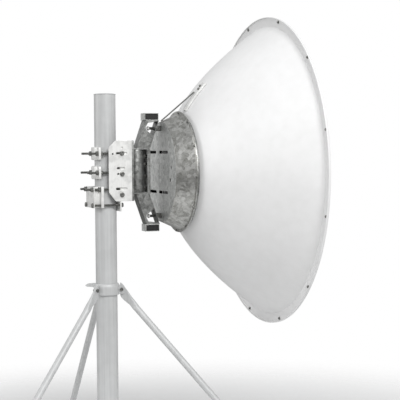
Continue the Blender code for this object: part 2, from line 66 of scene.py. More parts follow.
def corners(node):
    """A node's lowest and highest corner as arrays."""
    low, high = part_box(node)
    return np.array(low), np.array(high)


DISH_LOW, DISH_HIGH = corners("reflector")
PLATE_LOW, PLATE_HIGH = corners("drum_plate")
WALL_LOW, WALL_HIGH = corners("drum_wall")
MAST_LOW, MAST_HIGH = corners("mast_tube")
AXIS = float(PLATE_LOW[2] + PLATE_HIGH[2]) / 2  # height of the dish's axis
MAST_RADIUS = float(MAST_HIGH[0] - MAST_LOW[0]) / 2
PLATE_RADIUS = float(PLATE_HIGH[2] - PLATE_LOW[2]) / 2
LEGS = {"right": -29.0, "left": -149.0, "far": 91.0}  # azimuth of each brace in degrees
STUD_Y = 0.055


# Colours and values that a user may change


def linear(colour):
    """Turns an sRGB hex colour into linear red, green, blue and alpha."""
    parts = np.array([int(colour[at : at + 2], 16) for at in (1, 3, 5)]) / 255
    curved = ((parts + 0.055) / 1.055) ** 2.4
    return (*np.where(parts <= 0.04045, parts / 12.92, curved).tolist(), 1.0)


def length(name, default, description):
    return bpy.props.FloatProperty(
        name=name, description=description, default=default, unit="LENGTH", precision=4
    )


def colour(name, default, description):
    return bpy.props.FloatVectorProperty(
        name=name, description=description, default=linear(default), size=4, subtype="COLOR"
    )


class DishSizes(bpy.types.PropertyGroup):
    rim_x: length("Rim", float(DISH_HIGH[0]), "Place of the rim's front face along the axis")
    depth: length("Depth", 0.4489, "From the vertex of the outer side to the rim")
    bowl: bpy.props.FloatProperty(
        name="Bowl", description="Rise of the bowl for each square metre of radius", default=1.1634
    )
    wall: length("Wall", 0.003, "Thickness of the spun sheet")
    edge: length("Bowl edge", 0.6165, "Radius where the bowl meets its flange")
    rim: length("Rim radius", float(DISH_HIGH[2] - DISH_LOW[2]) / 2, "Radius over the flange")
    flange: length("Flange", 0.004, "Thickness of the flange")
    lip: length("Lip", 0.010, "Depth of the flange's turned edge")
    screw_circle: length("Screw circle", 0.645, "Radius of the circle of rim screws")
    screws: bpy.props.IntProperty(name="Screws", description="Screws round the rim", default=12)
    feed: length("Feed", 0.025, "Radius of the feed tube")
    feed_end: length("Feed end", 0.478, "Place of the feed tube's end along the axis")
    cup: length("Sub-reflector", 0.060, "Radius of the sub-reflector")


class DrumSizes(bpy.types.PropertyGroup):
    back: length("Back plate", float(PLATE_LOW[0]), "Place of the plate's back face")
    sheet: length("Plate sheet", 0.004, "Thickness of the back plate")
    back_radius: length("Back radius", 0.2085, "Radius of the wall at its back")
    front_x: length("Flange place", 0.3140, "Place of the flange's back face")
    front_radius: length("Front radius", 0.2430, "Radius of the wall at the flange")
    flange: length("Flange radius", float(WALL_HIGH[2] - WALL_LOW[2]) / 2, "Over the flange")
    port: length("Port", 0.039, "Radius of the raised port in the plate's middle")


class MountSizes(bpy.types.PropertyGroup):
    side_y: length("Side plates", 0.0655, "Inner face of the side plates")
    side_sheet: length("Side sheet", 0.005, "Thickness of the side plates")
    edge: length("Edge", 0.0012, "Rounding of the sheet metal's edges")
    stud: length("Stud", 0.005, "Radius of the threaded studs")
    pitch: length("Pitch", 0.0015, "Thread pitch of the studs")
    nut: length("Nut", 0.0170, "Size of the nuts across their flats")


class Finishes(bpy.types.PropertyGroup):
    dish: colour("Dish", "#F2F2F2", "Powder coat of the dish")
    plate_light: colour("Plate spangle, light", "#E6E7E5", "Brightest zinc crystals of the plate")
    plate_dark: colour("Plate spangle, dark", "#B4B6B4", "Darkest zinc crystals of the plate")
    wall_light: colour("Wall spangle, light", "#CFCFCC", "Brightest zinc crystals of the wall")
    wall_dark: colour("Wall spangle, dark", "#8D8D88", "Darkest zinc crystals of the wall")
    arm_light: colour("Arm zinc, light", "#A9AAA8", "Light patches on the arms")
    arm_dark: colour("Arm zinc, dark", "#6C6D6B", "Dark patches on the arms")
    zinc: colour("Bright zinc", "#F1F1EF", "Zinc plated sheet of the clamps")
    mast: colour("Mast", "#CDCECE", "Dull grey of the mast and its braces")
    bolt: colour("Bolts", "#8E8E8B", "Zinc plated fasteners")
    plug: colour("Plugs", "#151515", "Moulded end plugs")


class Studio(bpy.types.PropertyGroup):
    floor: colour("Floor", "#E9E9E9", "Pale floor")
    floor_radius: length("Floor radius", 3.2, "Where the floor has faded out")
    key: bpy.props.FloatProperty(name="Key", description="Key softbox", default=190.0, unit="POWER")
    fill: bpy.props.FloatProperty(name="Fill", description="Fill softbox", default=55.0, unit="POWER")
    sky: bpy.props.FloatProperty(name="Sky", description="Strength of the surround", default=0.62)


# Materials


def blank(name):
    """An empty material: its tree, its Principled shader and the object's own coordinates."""
    made = bpy.data.materials.new(name)
    made.use_nodes = True
    tree = made.node_tree
    shader = tree.nodes["Principled BSDF"]
    place = tree.nodes.new("ShaderNodeTexCoord").outputs["Object"]
    return made, tree, shader, place


def add(tree, kind, inputs=None, **settings):
    """Adds a node. Settings are its own fields; inputs are values or sockets that feed it."""
    made = tree.nodes.new("ShaderNode" + kind)
    for field, value in settings.items():
        setattr(made, field, value)
    for socket, value in (inputs or {}).items():
        if isinstance(value, bpy.types.NodeSocket):
            tree.links.new(value, made.inputs[socket])
        else:
            made.inputs[socket].default_value = value
    return made


def ramp(tree, factor, stops):
    """A colour ramp over a factor, from (place, colour) stops."""
    made = add(tree, "ValToRGB", {"Fac": factor})
    band = made.color_ramp
    for at, (place, value) in enumerate(stops):
        stop = band.elements[at] if at < 2 else band.elements.new(place)
        stop.position = place
        stop.color = value
    return made.outputs["Color"]


def spread(tree, value, low, high):
    """Maps a 0 to 1 value on to low to high."""
    made = add(tree, "MapRange", {"Value": value, "To Min": low, "To Max": high})
    return made.outputs["Result"]


def join_sockets(tree, sockets, shader):
    for name, source in sockets.items():
        tree.links.new(source, shader.inputs[name])


def powder_coat(name, base):
    """Satin polyester powder coat on a spun aluminium dish.

    The sprayed coat gives a soft sheen with fine orange peel, and the spinning lines of the
    sheet show through it as faint rings round the dish's axis. The rings are some 2 mm apart
    on a real dish and are drawn 14 mm apart, so that they show at all.
    """
    made, tree, shader, place = blank(name)
    centred = add(tree, "Mapping", {"Vector": place, "Location": (0, 0, -AXIS)}).outputs[0]
    cloud = add(tree, "TexNoise", {"Vector": place, "Scale": 2.2, "Detail": 3.0}).outputs["Fac"]
    dust = add(tree, "TexNoise", {"Vector": place, "Scale": 26.0, "Detail": 5.0}).outputs["Fac"]
    shade = tuple(part * 0.93 for part in base[:3]) + (1.0,)
    tint = ramp(tree, cloud, [(0.30, shade), (0.65, base)])
    speck = ramp(tree, dust, [(0.25, (0.965, 0.965, 0.962, 1)), (0.62, (1, 1, 1, 1))])
    both = add(tree, "MixRGB", {"Fac": 1.0, "Color1": tint, "Color2": speck}, blend_type="MULTIPLY")
    rings = add(
        tree,
        "TexWave",
        {"Vector": centred, "Scale": 22.4, "Distortion": 0.25, "Detail": 1.0},
        wave_type="RINGS",
        rings_direction="X",
    ).outputs["Fac"]
    peel = add(tree, "TexNoise", {"Vector": place, "Scale": 420.0, "Detail": 2.0}).outputs["Fac"]
    lines = add(tree, "Bump", {"Height": rings, "Strength": 0.05, "Distance": 0.0008})
    skin = add(
        tree, "Bump", {"Height": peel, "Strength": 0.10, "Distance": 0.0004, "Normal": lines.outputs[0]}
    )
    rough = spread(tree, dust, 0.36, 0.46)
    sockets = {"Base Color": both.outputs[0], "Roughness": rough, "Normal": skin.outputs[0]}
    join_sockets(tree, sockets, shader)
    shader.inputs["Coat Weight"].default_value = 0.10
    shader.inputs["Coat Roughness"].default_value = 0.25
    return made


def galvanised(name, light, dark, crystal, metallic, rough, stain=0.0):
    """Hot dip galvanised steel.

    Molten zinc freezes in crystals, the spangle, some 10 to 20 mm across. Each crystal has its
    own grey, its own gloss and its own slight tilt, so the sheet glitters in patches, with a
    frosty grain inside them and cloudy dull areas of thicker zinc over them.
    """
    made, tree, shader, place = blank(name)
    warp = add(tree, "TexNoise", {"Vector": place, "Scale": 70.0, "Detail": 3.0}).outputs["Color"]
    push = add(tree, "VectorMath", {0: warp, "Scale": crystal * 0.55}, operation="SCALE").outputs[0]
    bent = add(tree, "VectorMath", {0: place, 1: push}, operation="ADD").outputs[0]
    cells = add(tree, "TexVoronoi", {"Vector": bent, "Scale": 1.0 / crystal}).outputs["Color"]
    small = add(tree, "TexVoronoi", {"Vector": bent, "Scale": 2.7 / crystal}).outputs["Color"]
    parts = add(tree, "SeparateColor", {"Color": cells}).outputs
    bits = add(tree, "SeparateColor", {"Color": small}).outputs
    frost = add(tree, "TexNoise", {"Vector": place, "Scale": 900.0, "Detail": 3.0}).outputs["Fac"]
    cloud = add(tree, "TexNoise", {"Vector": place, "Scale": 9.0, "Detail": 4.0}).outputs["Fac"]
    mixed = add(tree, "Mix", {"Factor": 0.35, 2: parts[0], 3: bits[0]}).outputs[0]
    grained = add(tree, "Mix", {"Factor": 0.18, 2: mixed, 3: frost}).outputs[0]
    clouded = add(tree, "Mix", {"Factor": 0.38, 2: grained, 3: cloud}).outputs[0]
    tint = ramp(tree, clouded, [(0.24, dark), (0.70, light)])
    if stain:
        worn = ramp(tree, cloud, [(0.42, (1, 1, 1, 1)), (0.72, (1 - stain, 1 - stain, 1 - stain, 1))])
        tint = add(
            tree, "MixRGB", {"Fac": 1.0, "Color1": tint, "Color2": worn}, blend_type="MULTIPLY"
        ).outputs[0]
    gloss = add(tree, "Mix", {"Factor": 0.5, 2: parts[1], 3: cloud}).outputs[0]
    tilt = add(tree, "VectorMath", {0: cells, 1: (0.5, 0.5, 0.5)}, operation="SUBTRACT").outputs[0]
    lean = add(tree, "VectorMath", {0: tilt, "Scale": 0.10}, operation="SCALE").outputs[0]
    facing = add(tree, "NewGeometry").outputs["Normal"]
    tilted = add(tree, "VectorMath", {0: facing, 1: lean}, operation="ADD").outputs[0]
    normal = add(tree, "VectorMath", {0: tilted}, operation="NORMALIZE").outputs[0]
    skin = add(
        tree, "Bump", {"Height": frost, "Strength": 0.12, "Distance": 0.0005, "Normal": normal}
    ).outputs[0]
    span = spread(tree, gloss, rough - 0.10, rough + 0.14)
    join_sockets(tree, {"Base Color": tint, "Roughness": span, "Normal": skin}, shader)
    shader.inputs["Metallic"].default_value = metallic
    return made


def zinc_sheet(name, base):
    """Pressed steel sheet with a bright electroplated zinc coat.

    The coat is even and nearly white, with a silky rolling grain along the sheet, a little
    cloudiness and a few small dull spots where it was handled.
    """
    made, tree, shader, place = blank(name)
    grain_place = add(tree, "Mapping", {"Vector": place, "Scale": (260.0, 260.0, 26.0)}).outputs[0]
    grain = add(tree, "TexNoise", {"Vector": grain_place, "Scale": 1.0, "Detail": 3.0}).outputs["Fac"]
    cloud = add(tree, "TexNoise", {"Vector": place, "Scale": 34.0, "Detail": 5.0}).outputs["Fac"]
    spots = add(tree, "TexVoronoi", {"Vector": place, "Scale": 70.0, "Randomness": 1.0}).outputs[0]
    dull = tuple(part * 0.80 for part in base[:3]) + (1.0,)
    tint = ramp(tree, cloud, [(0.34, dull), (0.56, base)])
    spotted = ramp(tree, spots, [(0.06, (0.86, 0.86, 0.85, 1)), (0.16, (1, 1, 1, 1))])
    streaks = ramp(tree, grain, [(0.3, (0.95, 0.95, 0.95, 1)), (0.6, (1, 1, 1, 1))])
    first = add(tree, "MixRGB", {"Fac": 1.0, "Color1": tint, "Color2": spotted}, blend_type="MULTIPLY")
    second = add(
        tree,
        "MixRGB",
        {"Fac": 1.0, "Color1": first.outputs[0], "Color2": streaks},
        blend_type="MULTIPLY",
    )
    skin = add(tree, "Bump", {"Height": grain, "Strength": 0.06, "Distance": 0.0005})
    rough = spread(tree, cloud, 0.52, 0.38)
    sockets = {"Base Color": second.outputs[0], "Roughness": rough, "Normal": skin.outputs[0]}
    join_sockets(tree, sockets, shader)
    shader.inputs["Metallic"].default_value = 0.30
    return made


def mast_zinc(name, base):
    """Dull grey zinc on a rolled steel tube.

    Weathered zinc is matt, with soft streaks down the tube from the rolling, faint cloudy
    patches and a slightly rough skin.
    """
    made, tree, shader, place = blank(name)
    drawn = add(tree, "Mapping", {"Vector": place, "Scale": (120.0, 120.0, 3.0)}).outputs[0]
    streak = add(tree, "TexNoise", {"Vector": drawn, "Scale": 1.0, "Detail": 4.0}).outputs["Fac"]
    cloud = add(tree, "TexNoise", {"Vector": place, "Scale": 13.0, "Detail": 5.0}).outputs["Fac"]
    grit = add(tree, "TexNoise", {"Vector": place, "Scale": 700.0, "Detail": 2.0}).outputs["Fac"]
    mixed = add(tree, "Mix", {"Factor": 0.45, 2: streak, 3: cloud}).outputs[0]
    dark = tuple(part * 0.86 for part in base[:3]) + (1.0,)
    tint = ramp(tree, mixed, [(0.36, dark), (0.60, base)])
    height = add(tree, "Mix", {"Factor": 0.5, 2: streak, 3: grit}).outputs[0]
    skin = add(tree, "Bump", {"Height": height, "Strength": 0.10, "Distance": 0.0006}).outputs[0]
    rough = spread(tree, cloud, 0.46, 0.60)
    join_sockets(tree, {"Base Color": tint, "Roughness": rough, "Normal": skin}, shader)
    shader.inputs["Metallic"].default_value = 0.20
    return made


def bolt_zinc(name, base):
    """Zinc plated cold headed steel: a semi gloss grey with darker, rougher cloudy patches."""
    made, tree, shader, place = blank(name)
    cloud = add(tree, "TexNoise", {"Vector": place, "Scale": 150.0, "Detail": 4.0}).outputs["Fac"]
    dark = tuple(part * 0.55 for part in base[:3]) + (1.0,)
    tint = ramp(tree, cloud, [(0.30, dark), (0.62, base)])
    rough = spread(tree, cloud, 0.44, 0.26)
    skin = add(tree, "Bump", {"Height": cloud, "Strength": 0.12, "Distance": 0.0004}).outputs[0]
    join_sockets(tree, {"Base Color": tint, "Roughness": rough, "Normal": skin}, shader)
    shader.inputs["Metallic"].default_value = 0.90
    return made


def moulded_plastic(name, base):
    """Black polyethylene, moulded with a fine spark eroded grain that scatters the light."""
    made, tree, shader, place = blank(name)
    grain = add(tree, "TexNoise", {"Vector": place, "Scale": 520.0, "Detail": 3.0}).outputs["Fac"]
    scuff = add(tree, "TexNoise", {"Vector": place, "Scale": 60.0, "Detail": 5.0}).outputs["Fac"]
    pale = tuple(part * 2.1 for part in base[:3]) + (1.0,)
    tint = ramp(tree, scuff, [(0.45, base), (0.80, pale)])
    skin = add(tree, "Bump", {"Height": grain, "Strength": 0.25, "Distance": 0.0004}).outputs[0]
    rough = spread(tree, grain, 0.46, 0.66)
    join_sockets(tree, {"Base Color": tint, "Roughness": rough, "Normal": skin}, shader)
    shader.inputs["IOR"].default_value = 1.50
    return made


def finishes():
    """Every material, made on first use from the colours in the scene."""
    colours = bpy.context.scene.antenna_finishes
    value = {name: tuple(getattr(colours, name)) for name in Finishes.__annotations__}
    recipes = {
        "white": lambda n: powder_coat(n, value["dish"]),
        "plate": lambda n: galvanised(
            n, value["plate_light"], value["plate_dark"], 0.016, 0.62, 0.40
        ),
        "wall": lambda n: galvanised(
            n, value["wall_light"], value["wall_dark"], 0.014, 0.88, 0.34, 0.25
        ),
        "arm": lambda n: galvanised(n, value["arm_light"], value["arm_dark"], 0.012, 0.80, 0.36),
        "zinc": lambda n: zinc_sheet(n, value["zinc"]),
        "mast": lambda n: mast_zinc(n, value["mast"]),
        "bolt": lambda n: bolt_zinc(n, value["bolt"]),
        "plug": lambda n: moulded_plastic(n, value["plug"]),
    }
    return recipes


MATERIAL_NAMES = {
    "white": "satin white powder coat on spun aluminium",
    "plate": "light spangled galvanised steel",
    "wall": "spangled galvanised steel",
    "arm": "dull hot dip galvanised steel",
    "zinc": "bright zinc plated steel sheet",
    "mast": "matt grey galvanised tube",
    "bolt": "zinc plated bolt steel",
    "plug": "moulded black polyethylene",
}


def finish(kind):
    """The material of a kind, made once."""
    name = MATERIAL_NAMES[kind]
    return bpy.data.materials.get(name) or finishes()[kind](name)


# Surfaces


def shell(grid, wrap_rows=False, wrap_columns=True, cap=False):
    """Faces over a grid of points, rows by columns by 3.

    Point (i, j) joins (i, j+1), (i+1, j+1) and (i+1, j); wrapping joins the last row or column
    to the first, and cap closes the first and last row with one flat face each.
    """
    rows, columns = grid.shape[:2]
    index = np.arange(rows * columns).reshape(rows, columns)
    here = index if wrap_rows else index[:-1]
    there = np.roll(index, -1, axis=0) if wrap_rows else index[1:]
    if wrap_columns:
        quads = (here, np.roll(here, -1, axis=1), np.roll(there, -1, axis=1), there)
    else:
        quads = (here[:, :-1], here[:, 1:], there[:, 1:], there[:, :-1])
    faces = np.stack(quads, axis=-1).reshape(-1, 4).tolist()
    if cap:
        faces += [index[0, ::-1].tolist(), index[-1].tolist()]
    return grid.reshape(-1, 3), faces


def moved(part, turn=None, to=(0.0, 0.0, 0.0)):
    """A shell turned by a 3 by 3 matrix and then moved."""
    points, faces = part
    if turn is not None:
        points = points @ np.asarray(turn).T
    return points + np.asarray(to), faces


def spin_z(degrees):
    angle = math.radians(degrees)
    return np.array(
        [[math.cos(angle), -math.sin(angle), 0], [math.sin(angle), math.cos(angle), 0], [0, 0, 1]]
    )


def about_axis(part, degrees):
    """A shell turned about the dish's axis; positive leans its top to the near side."""
    angle = math.radians(degrees)
    turn = np.array(
        [[1, 0, 0], [0, math.cos(angle), -math.sin(angle)], [0, math.sin(angle), math.cos(angle)]]
    )
    points, faces = part
    centre = np.array([0, 0, AXIS])
    return (points - centre) @ turn.T + centre, faces


def piece(name, parts, kind, nodes=(), crease=38.0):
    """Puts shells into one object: welds them, turns faces outwards and smooths the surface."""
    points, faces, base = [], [], 0
    for part_points, part_faces in parts:
        points.append(part_points)
        faces += [[corner + base for corner in face] for face in part_faces]
        base += len(part_points)
    mesh = bpy.data.meshes.new(name)
    mesh.from_pydata(np.concatenate(points).tolist(), [], faces)
    work = bmesh.new()
    work.from_mesh(mesh)
    bmesh.ops.remove_doubles(work, verts=work.verts, dist=TINY * 5)
    bmesh.ops.recalc_face_normals(work, faces=work.faces)
    work.to_mesh(mesh)
    work.free()
    return placed(name, mesh, kind, nodes, crease)


def placed(name, mesh, kind, nodes=(), crease=38.0):
    """Links a mesh as a piece of the object, with its finish and its body, and hides the nodes it stands for."""
    mesh.materials.clear()
    mesh.materials.append(finish(kind))
    mesh.shade_smooth()
    mesh.set_sharp_from_angle(angle=math.radians(crease))
    made = bpy.data.objects.new(name, mesh)
    bpy.context.scene.collection.objects.link(made)
    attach(made, "root")
    if nodes:
        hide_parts(*nodes)
    return made


def softened(node, name, kind, width=0.0010):
    """A copy of a flat sided node, merged and with its sharp edges rounded by a bevel."""
    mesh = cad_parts[node].data.copy()
    work = bmesh.new()
    work.from_mesh(mesh)
    bmesh.ops.remove_doubles(work, verts=work.verts, dist=TINY * 10)
    bmesh.ops.dissolve_limit(
        work, angle_limit=math.radians(0.5), verts=work.verts, edges=work.edges
    )
    work.to_mesh(mesh)
    work.free()
    made = placed(name, mesh, kind, (node,))
    bevel = made.modifiers.new("Rounded edges", "BEVEL")
    bevel.width = width
    bevel.segments = 2
    bevel.limit_method = "ANGLE"
    bevel.angle_limit = math.radians(40)
    bevel.harden_normals = True
    return made


def basis(axis):
    """Two unit vectors square to an axis, and the axis itself as a unit vector."""
    axis = np.asarray(axis, float)
    axis = axis / np.linalg.norm(axis)
    other = np.array([0, 0, 1.0]) if abs(axis[2]) < 0.9 else np.array([1.0, 0, 0])
    side = np.cross(other, axis)
    side /= np.linalg.norm(side)
    return side, np.cross(axis, side), axis


def turned(profile, steps, origin=(0, 0, 0), axis=(0, 0, 1), closed=True, cap=False):
    """A profile of (radius, distance along the axis) turned about an axis.

    A point at turn a is origin + distance x axis + radius x (cos a x side + sin a x up).
    """
    profile = np.asarray(profile, float)
    side, up, along = basis(axis)
    turn = np.linspace(0, 2 * math.pi, steps, endpoint=False)
    ring = np.cos(turn)[:, None] * side + np.sin(turn)[:, None] * up
    grid = profile[:, None, 1:2] * along + profile[:, None, 0:1] * ring[None]
    return shell(grid + np.asarray(origin, float), wrap_rows=closed, cap=cap)


def eased(points, radius, steps=3, closed=True):
    """Rounds each corner C of an outline with the curve (1-t)^2 A + 2t(1-t) C + t^2 B.

    A and B lie on the two sides at the corner, a radius away from it or half a side at most.
    """
    corner = np.asarray(points, float)
    before = np.roll(corner, 1, axis=0) - corner
    after = np.roll(corner, -1, axis=0) - corner
    one = np.linalg.norm(before, axis=1, keepdims=True)
    two = np.linalg.norm(after, axis=1, keepdims=True)
    reach = np.minimum(np.broadcast_to(np.reshape(radius, (-1, 1)), one.shape), 0.48 * np.minimum(one, two))
    if not closed:
        reach = reach.copy()
        reach[[0, -1]] = 0
    start = corner + before / one * reach
    end = corner + after / two * reach
    t = np.linspace(0, 1, steps + 1)[None, :, None]
    curve = (1 - t) ** 2 * start[:, None] + 2 * t * (1 - t) * corner[:, None] + t**2 * end[:, None]
    return curve.reshape(-1, 2)


def ring(middle, radius, steps=24):
    turn = np.linspace(0, 2 * math.pi, steps, endpoint=False)
    return np.array(middle) + radius * np.stack([np.cos(turn), np.sin(turn)], axis=1)


def level_slot(middle, length_over, radius, steps=10):
    """A level slot with round ends: two half circles joined by straight sides."""
    turn = np.linspace(-math.pi / 2, math.pi / 2, steps)
    arc = radius * np.stack([np.cos(turn), np.sin(turn)], axis=1)
    half = length_over / 2 - radius
    right = arc + (half, 0)
    left = -arc - (half, 0)
    return np.concatenate([right, left]) + np.array(middle)


def turned_way(loop, outer):
    """Runs an outer loop anticlockwise and a hole clockwise, so the metal is on its left."""
    x, y = loop[:, 0], loop[:, 1]
    area = np.sum(x * np.roll(y, -1) - np.roll(x, -1) * y)
    return loop if (area > 0) == outer else loop[::-1]


def plate(loops, low, high, plane, edge=0.0010):
    """A flat sheet from an outer loop and holes, with rounded edges.

    Each loop is moved into the metal by the inset s = edge x (1 - sin a) at the height
    low + edge x (1 - cos a), for a from 0 to a right angle, and the same way at its other face.
    """
    swap = {"xy": (0, 1, 2), "xz": (0, 2, 1), "yz": (1, 2, 0)}[plane]
    turn = np.linspace(0, math.pi / 2, 4)
    inset = np.concatenate([[edge * 1.5], edge * (1 - np.sin(turn))])
    rise = np.concatenate([[0.0], edge * (1 - np.cos(turn))])
    inset = np.concatenate([inset, inset[::-1]])
    level = np.concatenate([low + rise, high - rise[::-1]])
    parts, caps = [], []
    for order, loop in enumerate(loops):
        loop = turned_way(np.asarray(loop, float), order == 0)
        run = np.roll(loop, -1, axis=0) - loop
        run /= np.linalg.norm(run, axis=1, keepdims=True)
        left = np.stack([-run[:, 1], run[:, 0]], axis=1)
        last = np.roll(left, 1, axis=0)
        lean = np.maximum(1 + np.sum(left * last, axis=1, keepdims=True), 0.35)
        flat = loop[None] + inset[:, None, None] * ((left + last) / lean)[None]
        grid = np.empty((*flat.shape[:2], 3))
        grid[..., swap[0]] = flat[..., 0]
        grid[..., swap[1]] = flat[..., 1]
        grid[..., swap[2]] = level[:, None]
        parts.append(shell(grid))
        caps.append((flat[0], grid[0], grid[-1]))
    outline = [[Vector((x, y, 0)) for x, y in flat] for flat, _, _ in caps]
    triangles = [list(face) for face in tessellate_polygon(outline)]
    for at in (1, 2):
        parts.append((np.concatenate([cap[at] for cap in caps]), triangles))
    return joined(parts)


def joined(parts):
    """Several shells as one."""
    points, faces, base = [], [], 0
    for part_points, part_faces in parts:
        points.append(part_points)
        faces += [[corner + base for corner in face] for face in part_faces]
        base += len(part_points)
    return np.concatenate(points), faces


def bar(low, high, edge=0.0012, turn_radius=0.002):
    """A block between two corners, with its upright edges and its faces' edges rounded."""
    (x0, y0, z0), (x1, y1, z1) = low, high
    loop = eased([(x0, y0), (x1, y0), (x1, y1), (x0, y1)], turn_radius)
    return plate([loop], z0, z1, "xy", edge)


# Fasteners


def nut(centre, axis, flats, height, bore, angle=0.0):
    """A hexagon nut whose corners a cone trims at both faces.

    The outer radius is the smaller of the hexagon's, (flats / 2) / cos(a folded to 30 degrees),
    and the cone's, flats / 2 x 1.0 at each face and growing by 1.7 for each unit of depth.
    """
    turn = np.linspace(0, 2 * math.pi, 48, endpoint=False)
    folded = (turn + angle + math.pi / 6) % (math.pi / 3) - math.pi / 6
    hexagon = flats / 2 / np.cos(folded)
    depth = np.array([0.0, 0.0004, 0.001, 0.002, height / 2])
    cone = flats / 2 * 0.97 + 1.7 * depth
    outer = np.minimum(hexagon[None], np.concatenate([cone, cone[::-1]])[:, None])
    level = np.concatenate([depth, height - depth[::-1]])
    lead = min(0.0010, bore * 0.2)
    inner = np.array([bore + lead, bore, bore, bore + lead])
    inner_level = np.array([height, height - lead, lead, 0.0])
    radius = np.concatenate([outer, np.repeat(inner[:, None], len(turn), axis=1)])
    place = np.concatenate([level, inner_level])
    side, up, along = basis(axis)
    way = np.cos(turn)[:, None] * side + np.sin(turn)[:, None] * up
    grid = radius[..., None] * way[None] + place[:, None, None] * along
    return shell(grid + np.asarray(centre), wrap_rows=True)


def bolt_head(centre, axis, flats, height, angle=0.0):
    """A hexagon head: the nut's outside closed by a slightly dished top."""
    turn = np.linspace(0, 2 * math.pi, 48, endpoint=False)
    folded = (turn + angle + math.pi / 6) % (math.pi / 3) - math.pi / 6
    hexagon = flats / 2 / np.cos(folded)
    depth = np.array([0.0, 0.0004, 0.001, 0.002, 0.003])
    cone = flats / 2 * 0.96 + 1.7 * depth
    rows = [np.minimum(hexagon, flats / 2 * 1.2)]
    rows += [np.minimum(hexagon, size) for size in cone[::-1]]
    rows += [np.full_like(turn, flats / 2 * share) for share in (0.80, 0.45, 0.0)]
    level = [0.0, *(height - depth[::-1]), height, height - 0.0004, height - 0.0004]
    side, up, along = basis(axis)
    way = np.cos(turn)[:, None] * side + np.sin(turn)[:, None] * up
    grid = np.array(rows)[..., None] * way[None] + np.array(level)[:, None, None] * along
    bottom = np.broadcast_to(np.zeros(3), (1, len(turn), 3))
    return shell(np.concatenate([bottom, grid]) + np.asarray(centre))


def washer(centre, axis, bore, radius, height):
    section = eased([(bore, 0), (radius, 0), (radius, height), (bore, height)], height * 0.3, 2)
    return turned(section, 36, centre, axis)


def threaded(start, end, radius, pitch):
    """A threaded rod: its radius is r - h x |2 frac(s / pitch - a / 2 pi) - 1|.

    s is the distance along the rod, a the turn about it and h the depth of the thread, and
    both ends are chamfered over one pitch.
    """
    start, end = np.asarray(start, float), np.asarray(end, float)
    run = float(np.linalg.norm(end - start))
    side, up, along = basis(end - start)
    place = np.linspace(0, run, int(run / pitch * 5) + 2)
    turn = np.linspace(0, 2 * math.pi, 20, endpoint=False)
    phase = (place[:, None] / pitch - turn[None] / (2 * math.pi)) % 1.0
    radii = radius - 0.61 * pitch * np.abs(2 * phase - 1)
    from_end = np.minimum(place, run - place)[:, None]
    radii = np.minimum(radii, radius - 0.8 * pitch + 0.8 * from_end)
    way = np.cos(turn)[:, None] * side + np.sin(turn)[:, None] * up
    grid = radii[..., None] * way[None] + place[:, None, None] * along
    return shell(grid + start, cap=True)


def fastened(centre, axis, flats, stud, washer_height=0.002):
    """A washer and a nut on it, seated at a centre and standing along an axis."""
    along = basis(axis)[2]
    seat = np.asarray(centre, float)
    return [
        washer(seat, axis, stud * 1.08, flats * 0.62, washer_height),
        nut(seat + along * washer_height, axis, flats, flats * 0.5, stud * 0.98),
    ]


def weld(path, radius, closed=True):
    """A weld bead: a round section carried along a path, swelling once for each ripple."""
    path = np.asarray(path, float)
    ahead = np.roll(path, -1, axis=0) if closed else np.vstack([path[1:], path[-1:]])
    behind = np.roll(path, 1, axis=0) if closed else np.vstack([path[:1], path[:-1]])
    along = ahead - behind
    along /= np.linalg.norm(along, axis=1, keepdims=True)
    other = np.where(np.abs(along[:, 2:3]) < 0.8, [[0, 0, 1.0]], [[1.0, 0, 0]])
    side = np.cross(along, other)
    side /= np.linalg.norm(side, axis=1, keepdims=True)
    up = np.cross(side, along)
    swell = radius * (1 + 0.16 * np.sin(np.arange(len(path)) * 2.1))[:, None, None]
    turn = np.linspace(0, 2 * math.pi, 8, endpoint=False)
    way = np.cos(turn)[None, :, None] * side[:, None] + np.sin(turn)[None, :, None] * up[:, None]
    return shell(path[:, None] + swell * way, wrap_rows=closed, cap=not closed)


# The dish


def dish_back(sizes, radius):
    return sizes.rim_x - sizes.depth + sizes.bowl * radius * radius


def build_reflector(sizes):
    """The spun bowl: x = vertex + bowl x r^2 outside, the same less the wall inside.

    A flat flange with a turned back lip follows, and the sheet is uneven by 0.2 mm.
    """
    hub = 0.0400
    radius = np.linspace(hub, sizes.edge, 90)
    slope = 2 * sizes.bowl * radius
    norm = np.hypot(1.0, slope)
    back = np.stack([radius, dish_back(sizes, radius)], axis=1)
    front = np.stack(
        [radius - sizes.wall * slope / norm, dish_back(sizes, radius) + sizes.wall / norm], axis=1
    )
    front[0] = (hub, back[0, 1] + sizes.wall)
    rim, flange_back = sizes.rim, sizes.rim_x - sizes.flange
    lip_end = sizes.rim_x - sizes.lip
    corner = [
        back[-1],
        (sizes.edge + 0.0012, flange_back),
        (rim - 0.003, flange_back),
        (rim - 0.003, lip_end),
        (rim, lip_end),
        (rim, sizes.rim_x),
        (sizes.edge - 0.004, sizes.rim_x),
        front[-2],
    ]
    size = [0, 0.0006, 0.0018, 0.0012, 0.0012, 0.0022, 0.0030, 0]
    outline = eased(corner, size, 4, closed=False)
    flat = outline[np.abs(outline[:, 1] - flange_back) < TINY]
    profile = np.concatenate([back[:-1], outline, front[-3::-1]])
    profile = np.insert(profile, 90 + 9, np.linspace(flat[0], flat[-1], 6)[1:-1], axis=0)
    points, faces = turned(profile, 240, (0, 0, AXIS), (1, 0, 0))
    y, z = points[:, 1], points[:, 2] - AXIS
    around = np.arctan2(z, y)
    far = np.hypot(y, z)
    uneven = 0.0002 * np.sin(3 * around + 9 * far) * np.sin(14 * far) * (far < sizes.edge * 0.98)
    points = points + np.stack([uneven, 0 * uneven, 0 * uneven], axis=1)
    piece("spun_dish", [(points, faces)], "white", ("reflector",), crease=50)


